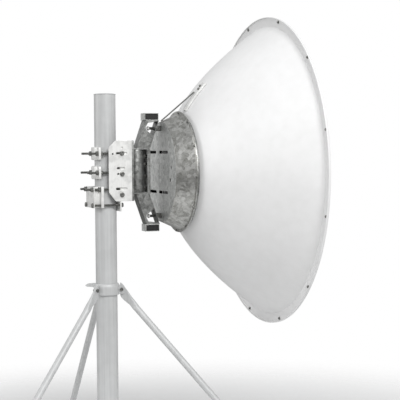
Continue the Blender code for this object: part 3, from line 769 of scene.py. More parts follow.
def build_rim_screws(sizes):
    """Small hexagon screws with washers round the back of the rim."""
    parts = []
    seat = sizes.rim_x - sizes.flange
    for number in range(sizes.screws):
        angle = 2 * math.pi * (number + 0.5) / sizes.screws
        place = np.array(
            [seat, sizes.screw_circle * math.cos(angle), AXIS + sizes.screw_circle * math.sin(angle)]
        )
        parts.append(washer(place + (0.0001, 0, 0), (-1, 0, 0), 0.0030, 0.0068, 0.0013))
        parts.append(bolt_head(place - (0.0011, 0, 0), (-1, 0, 0), 0.0090, 0.0042, angle))
    piece("rim_screws", parts, "bolt")


def build_feed(sizes):
    """The feed tube on its seat, and the shaped cup in front of it."""
    seat = dish_back(sizes, 0.0) - 0.006
    hub = 0.0400
    top = dish_back(sizes, hub) + sizes.wall + 0.001
    tube = [
        (sizes.feed - 0.0015, seat),
        (hub - GAP, seat),
        (hub - GAP, top),
        (sizes.feed, top),
        (sizes.feed, sizes.feed_end),
        (sizes.feed - 0.0015, sizes.feed_end),
    ]
    tube = eased(tube, [0.0004, 0.001, 0.001, 0.002, 0.0005, 0.0005], 3)
    piece("feed_pipe", [turned(tube, 64, (0, 0, AXIS), (1, 0, 0))], "white", ("feed_tube",))
    base = sizes.feed_end + GAP
    reach = np.linspace(0.030, sizes.cup, 12)
    back = np.stack([reach, base + 0.011 * ((reach - 0.030) / (sizes.cup - 0.030)) ** 2], axis=1)
    front = np.array([(sizes.cup, base + 0.016), (sizes.cup * 0.96, base + 0.0162), (0, base + 0.0162)])
    cup = np.concatenate([[(0, base)], back, front])
    piece("shaped_cup", [turned(cup, 64, (0, 0, AXIS), (1, 0, 0))], "white", ("sub_reflector",))


# The drum


def build_drum(sizes):
    """The cone shaped wall with its rolled back edge and flange, and the ring on the dish."""
    back = sizes.back + 0.0005
    seat = sizes.back + sizes.sheet + GAP
    slim = 0.003
    front, big = sizes.front_x, sizes.front_radius
    small = sizes.back_radius
    section = [
        (small + 0.0012, back),
        (small + 0.0001, back),
        (small + 0.0001, seat),
        (small - 0.012, seat),
        (small - 0.012, seat + slim),
        (small - 0.001, seat + slim),
        (big - slim, front),
        (big - slim, front + 0.004),
        (sizes.flange, front + 0.004),
        (sizes.flange, front),
        (big + 0.0005, front),
    ]
    size = [0.0006, 0.0002, 0.0002, 0.0005, 0.0005, 0.002, 0.002, 0.0005, 0.0012, 0.0012, 0.0022]
    section = eased(section, size, 3)
    piece("drum_cone", [turned(section, 200, (0, 0, AXIS), (1, 0, 0))], "wall", ("drum_wall",))
    low, high = corners("hub_ring")
    outer = (high[2] - low[2]) / 2
    inner = outer - 0.014
    hoop = [(inner, low[0]), (outer, low[0]), (outer, high[0]), (inner, high[0] - 0.0075)]
    hoop = eased(hoop, 0.0005, 2)
    piece("dish_ring", [turned(hoop, 160, (0, 0, AXIS), (1, 0, 0))], "arm", ("hub_ring",))


def plate_holes():
    """The back plate's slots and holes in its own plane, as (Y, Z) loops."""
    return [
        level_slot((-0.0400, AXIS + 0.0835), 0.122, 0.0060),
        level_slot((0.1075, AXIS + 0.0835), 0.091, 0.0060),
        level_slot((-0.0350, AXIS - 0.0845), 0.122, 0.0060),
        level_slot((0.1125, AXIS - 0.0845), 0.107, 0.0060),
        ring((-0.1410, AXIS + 0.0220), 0.0080),
        ring((-0.1300, AXIS - 0.0300), 0.0080),
    ]


def build_drum_plate(sizes):
    """The slotted back plate, its raised port and the crease beside it."""
    outline = ring((0, AXIS), PLATE_RADIUS, 160)
    sheet = plate(
        [outline, *plate_holes()], sizes.back, sizes.back + sizes.sheet, "yz", 0.0008
    )
    lip = 0.0011
    port = [
        (sizes.port - 0.0030, 0.0),
        (sizes.port - 0.0022, -lip),
        (sizes.port - 0.0008, -lip),
        (sizes.port, 0.0),
    ]
    bead = turned(eased(port, 0.0005, 2), 96, (sizes.back + 0.0002, -0.010, AXIS), (1, 0, 0))
    crease = bar(
        (sizes.back - 0.0007, -0.196, AXIS - 0.0036), (sizes.back + 0.0004, -0.050, AXIS - 0.0020), 0.0003
    )
    piece("slotted_plate", [sheet, bead, crease], "plate", ("drum_plate",))


def build_drum_fasteners(sizes):
    """Hexagon bolts through the flange."""
    parts = []
    middle = (sizes.front_radius + sizes.flange) / 2 + 0.0006
    for degrees in np.arange(12) * 30 + 4:
        angle = math.radians(degrees)
        place = np.array([sizes.front_x, middle * math.cos(angle), AXIS + middle * math.sin(angle)])
        parts.append(washer(place, (-1, 0, 0), 0.0032, 0.0056, 0.0010))
        parts.append(bolt_head(place - (0.0009, 0, 0), (-1, 0, 0), 0.0085, 0.0040, angle))
    piece("flange_bolts", parts, "bolt")


# The bow bracket


def build_arms():
    """Both leaning box arms and the spine's side flanges, with rounded edges."""
    for level in ("upper", "lower"):
        softened(f"arm_{level}", f"bow_arm_{level}", "arm", 0.0014)
        softened(f"cross_tube_{level}", f"end_tube_{level}", "plate", 0.0012)
        softened(f"pivot_cheek_{level}", f"pivot_end_{level}", "arm", 0.0008)
        for side in ("near", "far"):
            build_plug(level, side)
    softened("bow_spine", "spine_channel", "arm", 0.0010)


def build_plug(level, side):
    """A ribbed plug: a flat head over a shallower panel, rounded at its corners."""
    node = f"end_plug_{level}_{side}"
    low, high = corners(node)
    near = side == "near"
    outer = low[1] if near else high[1]
    inner = high[1] if near else low[1]
    way = 1 if near else -1
    (x0, z0), (x1, z1) = (low[0], low[2]), (high[0], high[2])
    body = eased([(x0, z0), (x1, z0), (x1, z1), (x0, z1)], 0.0030, 4)
    faces = sorted((outer + way * 0.0008, inner))
    parts = [plate([body], faces[0], faces[1], "xz", 0.0006)]
    inset = 0.0035
    rim_loop = [(x0 + inset, z0 + inset), (x1 - inset, z0 + inset)]
    rim_loop += [(x1 - inset, z1 - inset), (x0 + inset, z1 - inset)]
    head = sorted((outer, outer + way * 0.0016))
    parts.append(plate([body, eased(rim_loop, 0.002, 3)], head[0], head[1], "xz", 0.0003))
    piece(f"tube_plug_{level}_{side}", parts, "plug", (node,))


def build_adjusters(sizes):
    """The threaded rods from the arms to the drum plate with their nuts and washers."""
    for level in ("upper", "lower"):
        low, high = corners(f"adjusting_bolt_{level}")
        height = (low[2] + high[2]) / 2
        rod = threaded((low[0], 0, height), (high[0], 0, height), (high[2] - low[2]) / 2, 0.00175)
        parts = [rod]
        stud = (high[2] - low[2]) / 2
        parts += fastened((high[0], 0, height), (-1, 0, 0), 0.019, stud)
        seat = 0.2215
        parts.append(nut((seat, 0, height), (1, 0, 0), 0.019, 0.009, stud * 0.98))
        parts.append(washer((seat - 0.002, 0, height), (1, 0, 0), stud * 1.05, 0.0125, 0.002))
        piece(f"adjuster_{level}", parts, "bolt", (f"adjusting_bolt_{level}",))
        cap = bolt_head((low[0] - 0.0005, 0, height), (-1, 0, 0), 0.0150, 0.0075)
        piece(f"adjuster_head_{level}", [cap], "zinc")


def build_pivot(sizes):
    """The vertical pivot tube with its four short studs, and the plate behind it."""
    low, high = corners("pivot_tube")
    centre = (low[1] + high[1]) / 2
    radius = (high[1] - low[1]) / 2
    middle_x = low[0] + radius
    tube = [(0, low[2]), (radius, low[2]), (radius, high[2]), (0, high[2])]
    tube = eased(tube, 0.0015, 3, closed=False)
    parts = [turned(tube, 96, (middle_x, centre, 0), (0, 0, 1), closed=False)]
    piece("pivot_column", parts, "arm", ("pivot_tube",))
    studs = []
    for height in (0.066, 0.033, -0.017, -0.066):
        start = (middle_x + radius - 0.002, 0, AXIS + height)
        studs.append(threaded(start, (high[0], 0, AXIS + height), 0.006, 0.00175))
        studs.append(nut((high[0] - 0.0115, 0, AXIS + height), (1, 0, 0), 0.0165, 0.0085, 0.0058))
    piece("pivot_studs", studs, "bolt")
    low, high = corners("pivot_plate")
    loop = eased([(low[1], low[2]), (high[1], low[2]), (high[1], high[2]), (low[1], high[2])], 0.004)
    piece("pivot_backing", [plate([loop], low[0], high[0], "yz", 0.0012)], "arm", ("pivot_plate",))


# The clamps on the mast


def side_plate_loops():
    """The side plate's outline and its slots and holes, as (X, Z) loops."""
    low, high = corners("side_plate_near")
    x0, x1, z0, z1 = low[0], high[0], low[2], high[2]
    cut = 0.029
    edge = [(x1, z0), (x1, z1), (x0 + cut, z1), (x0, z1 - cut), (x0, z0 + cut * 1.3), (x0 + cut, z0)]
    return [
        eased(edge, 0.0030, 4),
        ring((0.0525, AXIS + 0.1032), 0.0042),
        ring((0.0135, AXIS + 0.0782), 0.0035),
        level_slot((0.0505, AXIS + 0.0810), 0.047, 0.0045),
        level_slot((0.04725, AXIS + 0.0198), 0.0335, 0.0045),
        ring((0.0360, AXIS - 0.0040), 0.0045),
        level_slot((0.04975, AXIS - 0.0650), 0.0485, 0.0050),
    ]


def build_side_plates(sizes):
    """Both slotted side plates and the three bolts through them."""
    heads = []
    for side, sign in (("near", -1), ("far", 1)):
        faces = sorted((sign * sizes.side_y, sign * (sizes.side_y + sizes.side_sheet)))
        sheet = plate(side_plate_loops(), faces[0], faces[1], "xz", sizes.edge)
        piece(f"slotted_side_{side}", [sheet], "zinc", (f"side_plate_{side}",))
        outer = sign * (sizes.side_y + sizes.side_sheet)
        for x, height in ((0.0525, 0.0810), (0.0527, -0.0041), (0.0518, -0.0893)):
            place = np.array([x, outer, AXIS + height])
            heads.append(washer(place, (0, sign, 0), 0.0052, 0.0098, 0.0016))
            heads.append(bolt_head(place + (0, sign * 0.0016, 0), (0, sign, 0), 0.0150, 0.0068, 0.3))
    piece("side_bolts", heads, "bolt")


def build_saddle(sizes):
    """The channel between the side plates: a web on the mast and two flanges, with bends."""
    low, high = corners("pole_saddle")
    sheet = 0.0045
    x0, x1, reach = low[0], high[0], high[1]
    web = x0 + 0.006
    outline = [
        (x0, -reach),
        (x1, -reach),
        (x1, -reach + sheet),
        (web, -reach + sheet),
        (web, reach - sheet),
        (x1, reach - sheet),
        (x1, reach),
        (x0, reach),
    ]
    loop = eased(outline, [0.004, 0.001, 0.001, 0.003, 0.003, 0.001, 0.001, 0.004], 4)
    piece("saddle_channel", [plate([loop], low[2], high[2], "xy", 0.0010)], "zinc", ("pole_saddle",))


def jaw_loops(bore, radius, x_front):
    """A half ring round the back of the mast, in plan."""
    open_out = math.acos(-x_front / radius)
    open_in = math.acos(-x_front / bore)
    out = np.linspace(math.pi - open_out, math.pi + open_out, 40)
    back = np.linspace(math.pi + open_in, math.pi - open_in, 40)
    outer = radius * np.stack([np.cos(out), np.sin(out)], axis=1)
    inner = bore * np.stack([np.cos(back), np.sin(back)], axis=1)
    return np.concatenate([outer, inner])


def build_jaws(sizes):
    """The two clamp jaws: a half ring with round cornered ears and toothed lower edges."""
    bore = MAST_RADIUS + GAP
    for level in ("upper", "middle"):
        low, high = corners(f"clamp_jaw_{level}")
        parts = [plate([jaw_loops(bore, 0.056, -0.0338)], low[2], high[2], "xy", 0.0016)]
        for sign in (-1, 1):
            inner, outer = sign * 0.0315, sign * high[1]
            loop = [(inner, low[2]), (outer, low[2]), (outer, high[2]), (inner, high[2])]
            rounding = np.array([0.0005, 0.0090, 0.0090, 0.0005])
            hole = ring((sign * STUD_Y, (low[2] + high[2]) / 2), 0.0056)
            parts.append(plate([eased(loop, rounding, 5), hole], -0.044, -0.034, "yz", 0.0014))
        for tooth in np.linspace(-0.9, 0.9, 7):
            centre = math.pi + tooth
            block_low = (bore + 0.0002, -0.0022, low[2] - 0.0000)
            block_high = (bore + 0.0060, 0.0022, low[2] + 0.006)
            parts.append(moved(bar(block_low, block_high, 0.0008), spin_z(math.degrees(centre))))
        piece(f"toothed_jaw_{level}", parts, "zinc", (f"clamp_jaw_{level}",))


def build_lower_bracket(sizes):
    """The tall bracket: a back sheet, two cheeks along the mast and ears for the studs."""
    low, high = corners("lower_bracket")
    sheet = 0.004
    bore = MAST_RADIUS + GAP
    reach = high[1]
    x0, x1 = low[0], high[0]
    ear = x1 - 0.012
    half = [
        (x0, 0.0),
        (x0, -reach),
        (x0 + sheet, -reach),
        (x0 + sheet, -(bore + sheet)),
        (ear, -(bore + sheet)),
        (ear, -reach),
        (x1, -reach),
        (x1, -bore),
        (x0 + sheet, -bore),
        (x0 + sheet, 0.0),
    ]
    other = [(x, -y) for x, y in half[-2:0:-1]]
    outline = half[1:-1] + other
    loop = eased(outline, 0.0022, 3)
    parts = [plate([loop], low[2], high[2], "xy", 0.0012)]
    joggle = bar((x0 - 0.0002, 0.0290, low[2] + 0.001), (x0 + 0.001, 0.0305, high[2] - 0.001), 0.0003)
    piece("tall_bracket", [*parts, joggle], "zinc", ("lower_bracket",))
    low, high = corners("lower_strap")
    loop = [(low[1], low[2]), (high[1], low[2]), (high[1], high[2]), (low[1], high[2])]
    holes = [ring((sign * STUD_Y, AXIS - 0.132), 0.0056) for sign in (-1, 1)]
    strap = plate([eased(loop, 0.007, 5), *holes], low[0], high[0], "yz", 0.0012)
    piece("front_strap", [strap], "zinc", ("lower_strap",))


def build_studs(sizes):
    """Every clamp stud as a threaded rod, with the nuts and washers that tighten it."""
    for level in ("upper", "middle", "lower", "bottom"):
        for side, sign in (("near", -1), ("far", 1)):
            node = f"stud_{level}_{side}"
            low, high = corners(node)
            y, z = (low[1] + high[1]) / 2, (low[2] + high[2]) / 2
            parts = [threaded((low[0], y, z), (high[0], y, z), sizes.stud, sizes.pitch)]
            if level in ("upper", "middle"):
                parts += fastened((-0.0441, y, z), (-1, 0, 0), sizes.nut, sizes.stud)
                parts += fastened((-0.0339, y, z), (1, 0, 0), sizes.nut * 0.9, sizes.stud, 0.0012)
            elif level == "lower":
                parts += fastened((-0.0671, y, z), (-1, 0, 0), sizes.nut, sizes.stud)
                parts += fastened((-0.0356, y, z), (-1, 0, 0), sizes.nut, sizes.stud)
            else:
                parts.append(nut((-0.0672, y, z), (-1, 0, 0), sizes.nut, 0.0070, sizes.stud))
                parts += fastened((0.0509, y, z), (1, 0, 0), sizes.nut * 0.9, sizes.stud, 0.0010)
            piece(f"clamp_stud_{level}_{side}", parts, "bolt", (node,))


# The mast and its braces


def build_mast():
    """The mast tube with its cap and base plate, joined to it by a weld."""
    inner = MAST_RADIUS - 0.0032
    tube = [(inner, MAST_LOW[2]), (MAST_RADIUS, MAST_LOW[2]), (MAST_RADIUS, MAST_HIGH[2]), (inner, MAST_HIGH[2])]
    tube = eased(tube, 0.0007, 2)
    steps = np.linspace(MAST_LOW[2] + 0.002, MAST_HIGH[2] - 0.002, 40)
    rows = np.stack([np.full(40, MAST_RADIUS), steps], axis=1)
    at = int(np.argmax(tube[:, 0] > MAST_RADIUS - TINY)) + 1
    tube = np.insert(tube, at + 1, rows, axis=0) if at else tube
    order = np.argsort(tube[:, 1], kind="stable")
    outer = tube[order][tube[order][:, 0] > inner + 0.0008]
    inside = tube[order][tube[order][:, 0] <= inner + 0.0008][::-1]
    section = np.concatenate([outer, inside])
    piece("mast_pole", [turned(section, 96)], "mast", ("mast_tube",))
    low, high = corners("mast_cap")
    seat = MAST_HIGH[2] + GAP
    dome = [
        (0, low[2]),
        (inner - GAP, low[2]),
        (inner - GAP, seat),
        (MAST_RADIUS + 0.0012, seat),
        (MAST_RADIUS + 0.0010, seat + 0.0022),
        (MAST_RADIUS * 0.90, seat + 0.0042),
        (MAST_RADIUS * 0.55, seat + 0.0058),
        (0, high[2]),
    ]
    dome = eased(dome, [0, 0.001, 0.0004, 0.0006, 0.0008, 0.004, 0.01, 0], 4, closed=False)
    piece("mast_lid", [turned(dome, 96, closed=False)], "mast", ("mast_cap",))
    low, high = corners("base_plate")
    foot = ring((0, 0), high[0], 96)
    round_plate = plate([foot], low[2], high[2], "xy", 0.0014)
    turn = np.linspace(0, 2 * math.pi, 90, endpoint=False)
    bead = np.stack([np.cos(turn), np.sin(turn), 0 * turn], axis=1) * (MAST_RADIUS + 0.0018)
    bead = weld(bead + (0, 0, high[2] + 0.0016), 0.0030)
    piece("mast_base", [round_plate, bead], "mast", ("base_plate",))


def build_collar():
    """The split collar with an ear for each brace and the split ear."""
    low, high = corners("collar")
    top = AXIS - 0.458
    bottom = top - 0.047
    bore = MAST_RADIUS + GAP
    section = [(bore, bottom), (0.0535, bottom), (0.0535, top - 0.010), (0.0485, top), (bore, top)]
    section = eased(section, [0.0004, 0.0030, 0.0060, 0.0020, 0.0004], 5)
    parts = [turned(section, 120)]
    for azimuth in LEGS.values():
        tab = eased([(0.0490, bottom + 0.002), (0.0740, bottom + 0.002), (0.0740, top - 0.006), (0.0490, top - 0.006)], 0.006, 4)
        parts.append(moved(plate([tab], -0.003, 0.003, "xz", 0.0008), spin_z(azimuth)))
    ear = [(0.049, -0.4565), (0.078, -0.4592), (0.0895, -0.4665), (0.085, -0.472), (0.049, -0.475)]
    loop = eased([(x, AXIS + z) for x, z in ear], 0.004, 4)
    parts.append(moved(plate([loop], -0.003, 0.003, "xz", 0.0008), spin_z(160.0)))
    piece("brace_collar", parts, "mast", ("collar",))


def build_brace(name, azimuth):
    """A brace whose crushed flat end turns into a round tube.

    Along u the section is the superellipse |a / w|^n + |b / t|^n = 1 between an upper and a
    lower line: half width w is half their distance, half thickness t grows from the flat's to
    the tube's, and n falls from 9 (flat bar) to 2 (round).
    """
    node = f"brace_{name}"
    flat_middle, tube = 0.0063, 0.01345
    slope = 1.13
    foot_z = 0.0063
    start = np.array([0.108, AXIS - 0.542])
    upper = np.array([(0.0566, -0.4560), (0.0610, -0.4572), (0.0676, -0.4630), (0.0886, -0.4920), (0.1050, -0.5160)])
    lower = np.array([(0.0566, -0.5090), (0.0606, -0.5170), (0.0710, -0.5280), (0.0860, -0.5400), (0.0975, -0.5480)])
    down = np.array([1.0, -slope]) / math.hypot(1.0, slope)
    across = np.array([slope, 1.0]) / math.hypot(1.0, slope)
    reach = (start[1] - foot_z) / -down[1]
    along = np.concatenate([np.linspace(0.020, 0.10, 8), np.linspace(0.14, reach, 26)])
    centre = start + along[:, None] * down
    top_line = np.concatenate([upper + (0, AXIS), centre + across * tube])
    low_line = np.concatenate([lower + (0, AXIS), centre - across * tube])
    last = centre[-1]
    top_line[-1] = last + np.array([tube * math.hypot(1, slope) / slope, 0])
    low_line[-1] = last - np.array([tube * math.hypot(1, slope) / slope, 0])
    knots = len(upper)
    fine = np.linspace(0, knots + 1, 44)
    spots = np.arange(len(top_line))
    u = np.concatenate([fine, np.arange(knots + 2, len(top_line))])
    top = np.stack([np.interp(u, spots, top_line[:, k]) for k in (0, 1)], axis=1)
    low = np.stack([np.interp(u, spots, low_line[:, k]) for k in (0, 1)], axis=1)
    blend = np.clip((u - 2.6) / 3.2, 0, 1)
    blend = blend * blend * (3 - 2 * blend)
    half_thick = 0.0030 + (tube - 0.0030) * blend
    power = 9.0 - 7.0 * blend
    turn = np.linspace(0, 2 * math.pi, 40, endpoint=False)
    c, s = np.cos(turn), np.sin(turn)
    wide = np.sign(c) * np.abs(c)[None] ** (2 / power[:, None])
    thick = np.sign(s) * np.abs(s)[None] ** (2 / power[:, None])
    middle, half = (top + low) / 2, (top - low) / 2
    grid = np.empty((len(u), len(turn), 3))
    grid[..., 0] = middle[:, None, 0] + wide * half[:, None, 0]
    grid[..., 2] = middle[:, None, 1] + wide * half[:, None, 1]
    grid[..., 1] = flat_middle + thick * half_thick[:, None]
    leg = moved(shell(grid, cap=True), spin_z(azimuth))
    seat = np.array([0.0650, 0.0033 + 0.006, AXIS - 0.4830])
    bolt = bolt_head(seat, (0, 1, 0), 0.0130, 0.0055)
    back = bolt_head(seat * (1, 0, 1) + (0, -0.003, 0), (0, -1, 0), 0.0130, 0.0060)
    piece(f"crushed_brace_{name}", [leg], "mast", (node,), crease=50)
    piece(f"brace_bolt_{name}", [moved(bolt, spin_z(azimuth)), moved(back, spin_z(azimuth))], "bolt")
    build_foot(name, azimuth, float(last[0]), flat_middle)


def build_foot(name, azimuth, radius, middle):
    """The foot plate under a brace, with the weld round the tube."""
    half, thick = 0.045, 0.006
    loop = [(radius - half, middle - half), (radius + half, middle - half)]
    loop += [(radius + half, middle + half), (radius - half, middle + half)]
    sheet = plate([eased(loop, 0.008, 5)], 0.0, thick, "xy", 0.0010)
    turn = np.linspace(0, 2 * math.pi, 60, endpoint=False)
    bead = np.stack(
        [radius + 0.0192 * np.cos(turn), middle + 0.0146 * np.sin(turn), np.full(60, thick + 0.0012)],
        axis=1,
    )
    parts = [moved(sheet, spin_z(azimuth)), moved(weld(bead, 0.0026), spin_z(azimuth))]
    piece(f"welded_foot_{name}", parts, "mast", (f"foot_plate_{name}",))


# The stay


def build_stay(dish):
    """The stay bar along the dish's top, the rod to it and its two bolts."""

    def above(radius, lift):
        slope = 2 * dish.bowl * radius
        norm = np.hypot(1.0, slope)
        return np.stack([dish_back(dish, radius) - lift / norm, AXIS + radius + lift * slope / norm], axis=-1)

    reach = np.linspace(0.258, 0.372, 14)
    loop = np.concatenate([above(reach, 0.0007), above(reach, 0.0085)[::-1]])
    strip = plate([loop], -0.018, 0.018, "xz", 0.0010)
    piece("stay_strip", [about_axis(strip, 7.0)], "zinc", ("stay_bar",))
    low, high = corners("stay_rod")
    start = Vector((0.2436, 0.0, AXIS + 0.2146))
    x, z = above(np.array(0.330), 0.0007 + 0.0078 + 0.003 + GAP)
    end = Matrix.Rotation(math.radians(5.0), 3, "X") @ Vector((x, 0, z - AXIS)) + Vector((0, 0, AXIS))
    along = (end - start).normalized()
    side = np.array(basis(along)[0]), np.array(basis(along)[1])
    place = np.linspace(0, (end - start).length, 60)
    turn = np.linspace(0, 2 * math.pi, 20, endpoint=False)
    way = np.cos(turn)[:, None] * side[0] + np.sin(turn)[:, None] * side[1]
    grid = np.array(start) + place[:, None, None] * np.array(along) + 0.003 * way[None]
    piece("stay_wire", [shell(grid, cap=True)], "bolt", ("stay_rod",))
    bolts = []
    for radius, lean in ((0.345, 7.6), (0.357, 6.2)):
        seat = above(np.array(radius), 0.0084)
        slope = 2 * dish.bowl * radius
        out = np.array([-1.0, 0.0, slope])
        bolts.append(about_axis(washer((seat[0], 0, seat[1]), out, 0.0030, 0.0062, 0.0012), lean))
        bolts.append(about_axis(bolt_head((seat[0], 0, seat[1]), out, 0.0085, 0.0060), lean))
    piece("stay_bolts", bolts, "bolt")


# The studio


def aim(made, target):
    way = Vector(target) - made.location
    made.rotation_mode = "QUATERNION"
    made.rotation_quaternion = way.to_track_quat("-Z", "Y")


def softbox(name, place, target, size, power, tint="#FFFFFF"):
    light = bpy.data.lights.new(name, "AREA")
    light.shape = "RECTANGLE"
    light.size, light.size_y = size
    light.energy = power
    light.color = linear(tint)[:3]
    made = bpy.data.objects.new(name, light)
    made.location = place
    bpy.context.scene.collection.objects.link(made)
    aim(made, target)
    return made


def build_camera():
    """The photograph's own view: a long lens, nearly level, from behind the dish's near side."""
    azimuth, height_angle, roll = (math.radians(a) for a in (-19.4568, 2.6059, -0.4227))
    pixels, width, sensor = 1150.0, 400.0, 36.0
    back = Vector(
        (
            math.sin(azimuth) * math.cos(height_angle),
            -math.cos(azimuth) * math.cos(height_angle),
            math.sin(height_angle),
        )
    )
    level = Vector((math.cos(azimuth), math.sin(azimuth), 0))
    upright = back.cross(level)
    right = level * math.cos(roll) + upright * math.sin(roll)
    up = upright * math.cos(roll) - level * math.sin(roll)
    data = bpy.data.cameras.new("Photograph")
    data.sensor_width = sensor
    data.lens = pixels / width * sensor
    data.clip_start, data.clip_end = 0.1, 100.0
    made = bpy.data.objects.new("Photograph", data)
    bpy.context.scene.collection.objects.link(made)
    made.matrix_world = Matrix(
        (
            (right.x, up.x, back.x, -1.21755),
            (right.y, up.y, back.y, -4.61971),
            (right.z, up.z, back.z, AXIS + 0.10142),
            (0, 0, 0, 1),
        )
    )
    bpy.context.scene.camera = made


def build_floor(studio):
    """A pale round floor that fades out before its edge, so it meets the backdrop softly."""
    radius = np.linspace(0.02, studio.floor_radius, 24)
    grid = turned(np.stack([radius, 0 * radius], axis=1), 96, closed=False)
    mesh = bpy.data.meshes.new("floor")
    mesh.from_pydata(grid[0].tolist(), [], [*grid[1], list(range(96))])
    made, tree, shader, place = blank("pale studio floor")
    far = add(tree, "VectorMath", {0: place}, operation="LENGTH").outputs["Value"]
    fade = add(
        tree,
        "MapRange",
        {"Value": far, "From Min": studio.floor_radius * 0.42, "From Max": studio.floor_radius * 0.98,
         "To Min": 1.0, "To Max": 0.0},
        interpolation_type="SMOOTHSTEP",
    ).outputs["Result"]
    grain = add(tree, "TexNoise", {"Vector": place, "Scale": 5.0, "Detail": 4.0}).outputs["Fac"]
    base = tuple(studio.floor)
    pale = ramp(tree, grain, [(0.2, tuple(0.97 * part for part in base[:3]) + (1.0,)), (0.8, base)])
    join_sockets(tree, {"Base Color": pale, "Alpha": fade}, shader)
    shader.inputs["Roughness"].default_value = 0.85
    mesh.materials.append(made)
    floor = bpy.data.objects.new("floor", mesh)
    floor.location = (0.25, 0, -0.0005)
    bpy.context.scene.collection.objects.link(floor)


def build_surround(studio):
    """White to the camera; to the metal it is bright at eye level, softer above, dim below."""
    scene = bpy.context.scene
    scene.world = bpy.data.worlds.new("Studio surround")
    scene.world.use_nodes = True
    tree = scene.world.node_tree
    tree.nodes.clear()
    way = add(tree, "TexCoord").outputs["Generated"]
    height = add(tree, "SeparateXYZ", {"Vector": way}).outputs["Z"]
    lifted = add(tree, "MapRange", {"Value": height, "From Min": -1.0, "From Max": 1.0}).outputs[0]
    grey = ramp(
        tree,
        lifted,
        [
            (0.0, (0.16, 0.16, 0.155, 1)),
            (0.40, (0.24, 0.24, 0.235, 1)),
            (0.50, (0.95, 0.95, 0.95, 1)),
            (0.62, (1.0, 1.0, 1.0, 1)),
            (1.0, (0.80, 0.81, 0.82, 1)),
        ],
    )
    lit = add(tree, "Background", {"Color": grey, "Strength": studio.sky})
    plain = add(tree, "Background", {"Color": (1, 1, 1, 1), "Strength": 1.0})
    seen = add(tree, "LightPath").outputs["Is Camera Ray"]
    mixed = add(tree, "MixShader", {0: seen, 1: lit.outputs[0], 2: plain.outputs[0]})
    output = tree.nodes.new("ShaderNodeOutputWorld")
    tree.links.new(mixed.outputs[0], output.inputs["Surface"])


def build_stage(studio):
    """The camera, two softboxes, the surround and the floor."""
    scene = bpy.context.scene
    scene.view_settings.view_transform = "Standard"
    build_camera()
    target = (0.35, 0, AXIS)
    softbox("Key softbox", (0.6, -4.6, 4.4), target, (2.6, 2.0), studio.key)
    softbox("Fill softbox", (-4.2, 0.6, 2.8), target, (2.4, 2.4), studio.fill)
    build_surround(studio)
    build_floor(studio)


# Operators, panel and registration


def build_bow_group(context):
    build_arms()
    build_adjusters(context.scene.antenna_mount)
    build_pivot(context.scene.antenna_mount)


class BuildDish(bpy.types.Operator):
    """Build the spun bowl with its flange, and the screws round its rim"""

    bl_idname = "antenna.dish"
    bl_label = "Dish and rim screws"

    def execute(self, context):
        build_reflector(context.scene.antenna_dish)
        build_rim_screws(context.scene.antenna_dish)
        return {"FINISHED"}


class BuildFeed(bpy.types.Operator):
    """Build the feed tube and the cup in front of it"""

    bl_idname = "antenna.feed"
    bl_label = "Feed"

    def execute(self, context):
        build_feed(context.scene.antenna_dish)
        return {"FINISHED"}


class BuildDrum(bpy.types.Operator):
    """Build the drum's wall, its slotted back plate and its bolts"""

    bl_idname = "antenna.drum"
    bl_label = "Drum"

    def execute(self, context):
        sizes = context.scene.antenna_drum
        build_drum(sizes)
        build_drum_plate(sizes)
        build_drum_fasteners(sizes)
        return {"FINISHED"}


class BuildBow(bpy.types.Operator):
    """Build the arms, their end tubes and plugs, the pivot and the adjusters"""

    bl_idname = "antenna.bow"
    bl_label = "Bow bracket"

    def execute(self, context):
        build_bow_group(context)
        return {"FINISHED"}


class BuildSides(bpy.types.Operator):
    """Build the slotted side plates, their bolts and the saddle between them"""

    bl_idname = "antenna.sides"
    bl_label = "Side plates and saddle"

    def execute(self, context):
        build_side_plates(context.scene.antenna_mount)
        build_saddle(context.scene.antenna_mount)
        return {"FINISHED"}


class BuildClamps(bpy.types.Operator):
    """Build the jaws, the tall bracket and the threaded studs with their nuts"""

    bl_idname = "antenna.clamps"
    bl_label = "Clamps and studs"

    def execute(self, context):
        sizes = context.scene.antenna_mount
        build_jaws(sizes)
        build_lower_bracket(sizes)
        build_studs(sizes)
        return {"FINISHED"}


class BuildMast(bpy.types.Operator):
    """Build the mast, its cap and base, the collar and the three braces"""

    bl_idname = "antenna.mast"
    bl_label = "Mast and braces"

    def execute(self, context):
        build_mast()
        build_collar()
        for name, azimuth in LEGS.items():
            build_brace(name, azimuth)
        return {"FINISHED"}


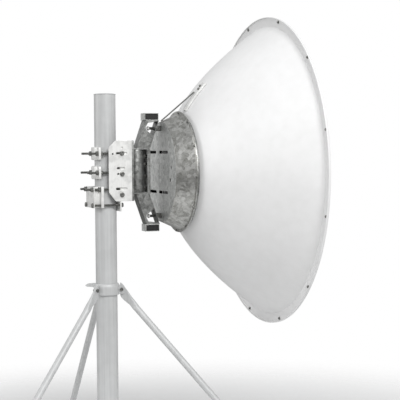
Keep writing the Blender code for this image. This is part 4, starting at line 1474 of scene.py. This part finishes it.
class BuildStay(bpy.types.Operator):
    """Build the stay bar, its rod and its bolts"""

    bl_idname = "antenna.stay"
    bl_label = "Stay"

    def execute(self, context):
        build_stay(context.scene.antenna_dish)
        return {"FINISHED"}


class BuildStage(bpy.types.Operator):
    """Build the camera, the lights, the surround and the floor"""

    bl_idname = "antenna.stage"
    bl_label = "Studio"

    def execute(self, context):
        build_stage(context.scene.antenna_studio)
        return {"FINISHED"}


OPERATORS = (
    BuildStage,
    BuildDish,
    BuildFeed,
    BuildDrum,
    BuildBow,
    BuildSides,
    BuildClamps,
    BuildMast,
    BuildStay,
)
GROUPS = {
    "antenna_dish": DishSizes,
    "antenna_drum": DrumSizes,
    "antenna_mount": MountSizes,
    "antenna_finishes": Finishes,
    "antenna_studio": Studio,
}


class ANTENNA_PT_panel(bpy.types.Panel):
    """Sizes, colours and build steps of the antenna"""

    bl_label = "Dish antenna"
    bl_idname = "ANTENNA_PT_panel"
    bl_space_type = "VIEW_3D"
    bl_region_type = "UI"
    bl_category = "Antenna"

    def draw(self, context):
        for group, kind in GROUPS.items():
            box = self.layout.box()
            for name in kind.__annotations__:
                box.prop(getattr(context.scene, group), name)
        for operator in OPERATORS:
            self.layout.operator(operator.bl_idname)


def register():
    for group, kind in GROUPS.items():
        bpy.utils.register_class(kind)
        setattr(bpy.types.Scene, group, bpy.props.PointerProperty(type=kind))
    for kind in (*OPERATORS, ANTENNA_PT_panel):
        bpy.utils.register_class(kind)


def unregister():
    for kind in (ANTENNA_PT_panel, *reversed(OPERATORS)):
        bpy.utils.unregister_class(kind)
    for group, kind in reversed(GROUPS.items()):
        delattr(bpy.types.Scene, group)
        bpy.utils.unregister_class(kind)


def plain(box):
    return [list(corner) for corner in box]


def main():
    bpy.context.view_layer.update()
    register()
    bpy.ops.antenna.stage()
    bpy.ops.antenna.dish()
    bpy.ops.antenna.feed()
    bpy.ops.antenna.drum()
    bpy.ops.antenna.bow()
    bpy.ops.antenna.sides()
    bpy.ops.antenna.clamps()
    bpy.ops.antenna.mast()
    bpy.ops.antenna.stay()


if __name__ == "__main__":
    main()
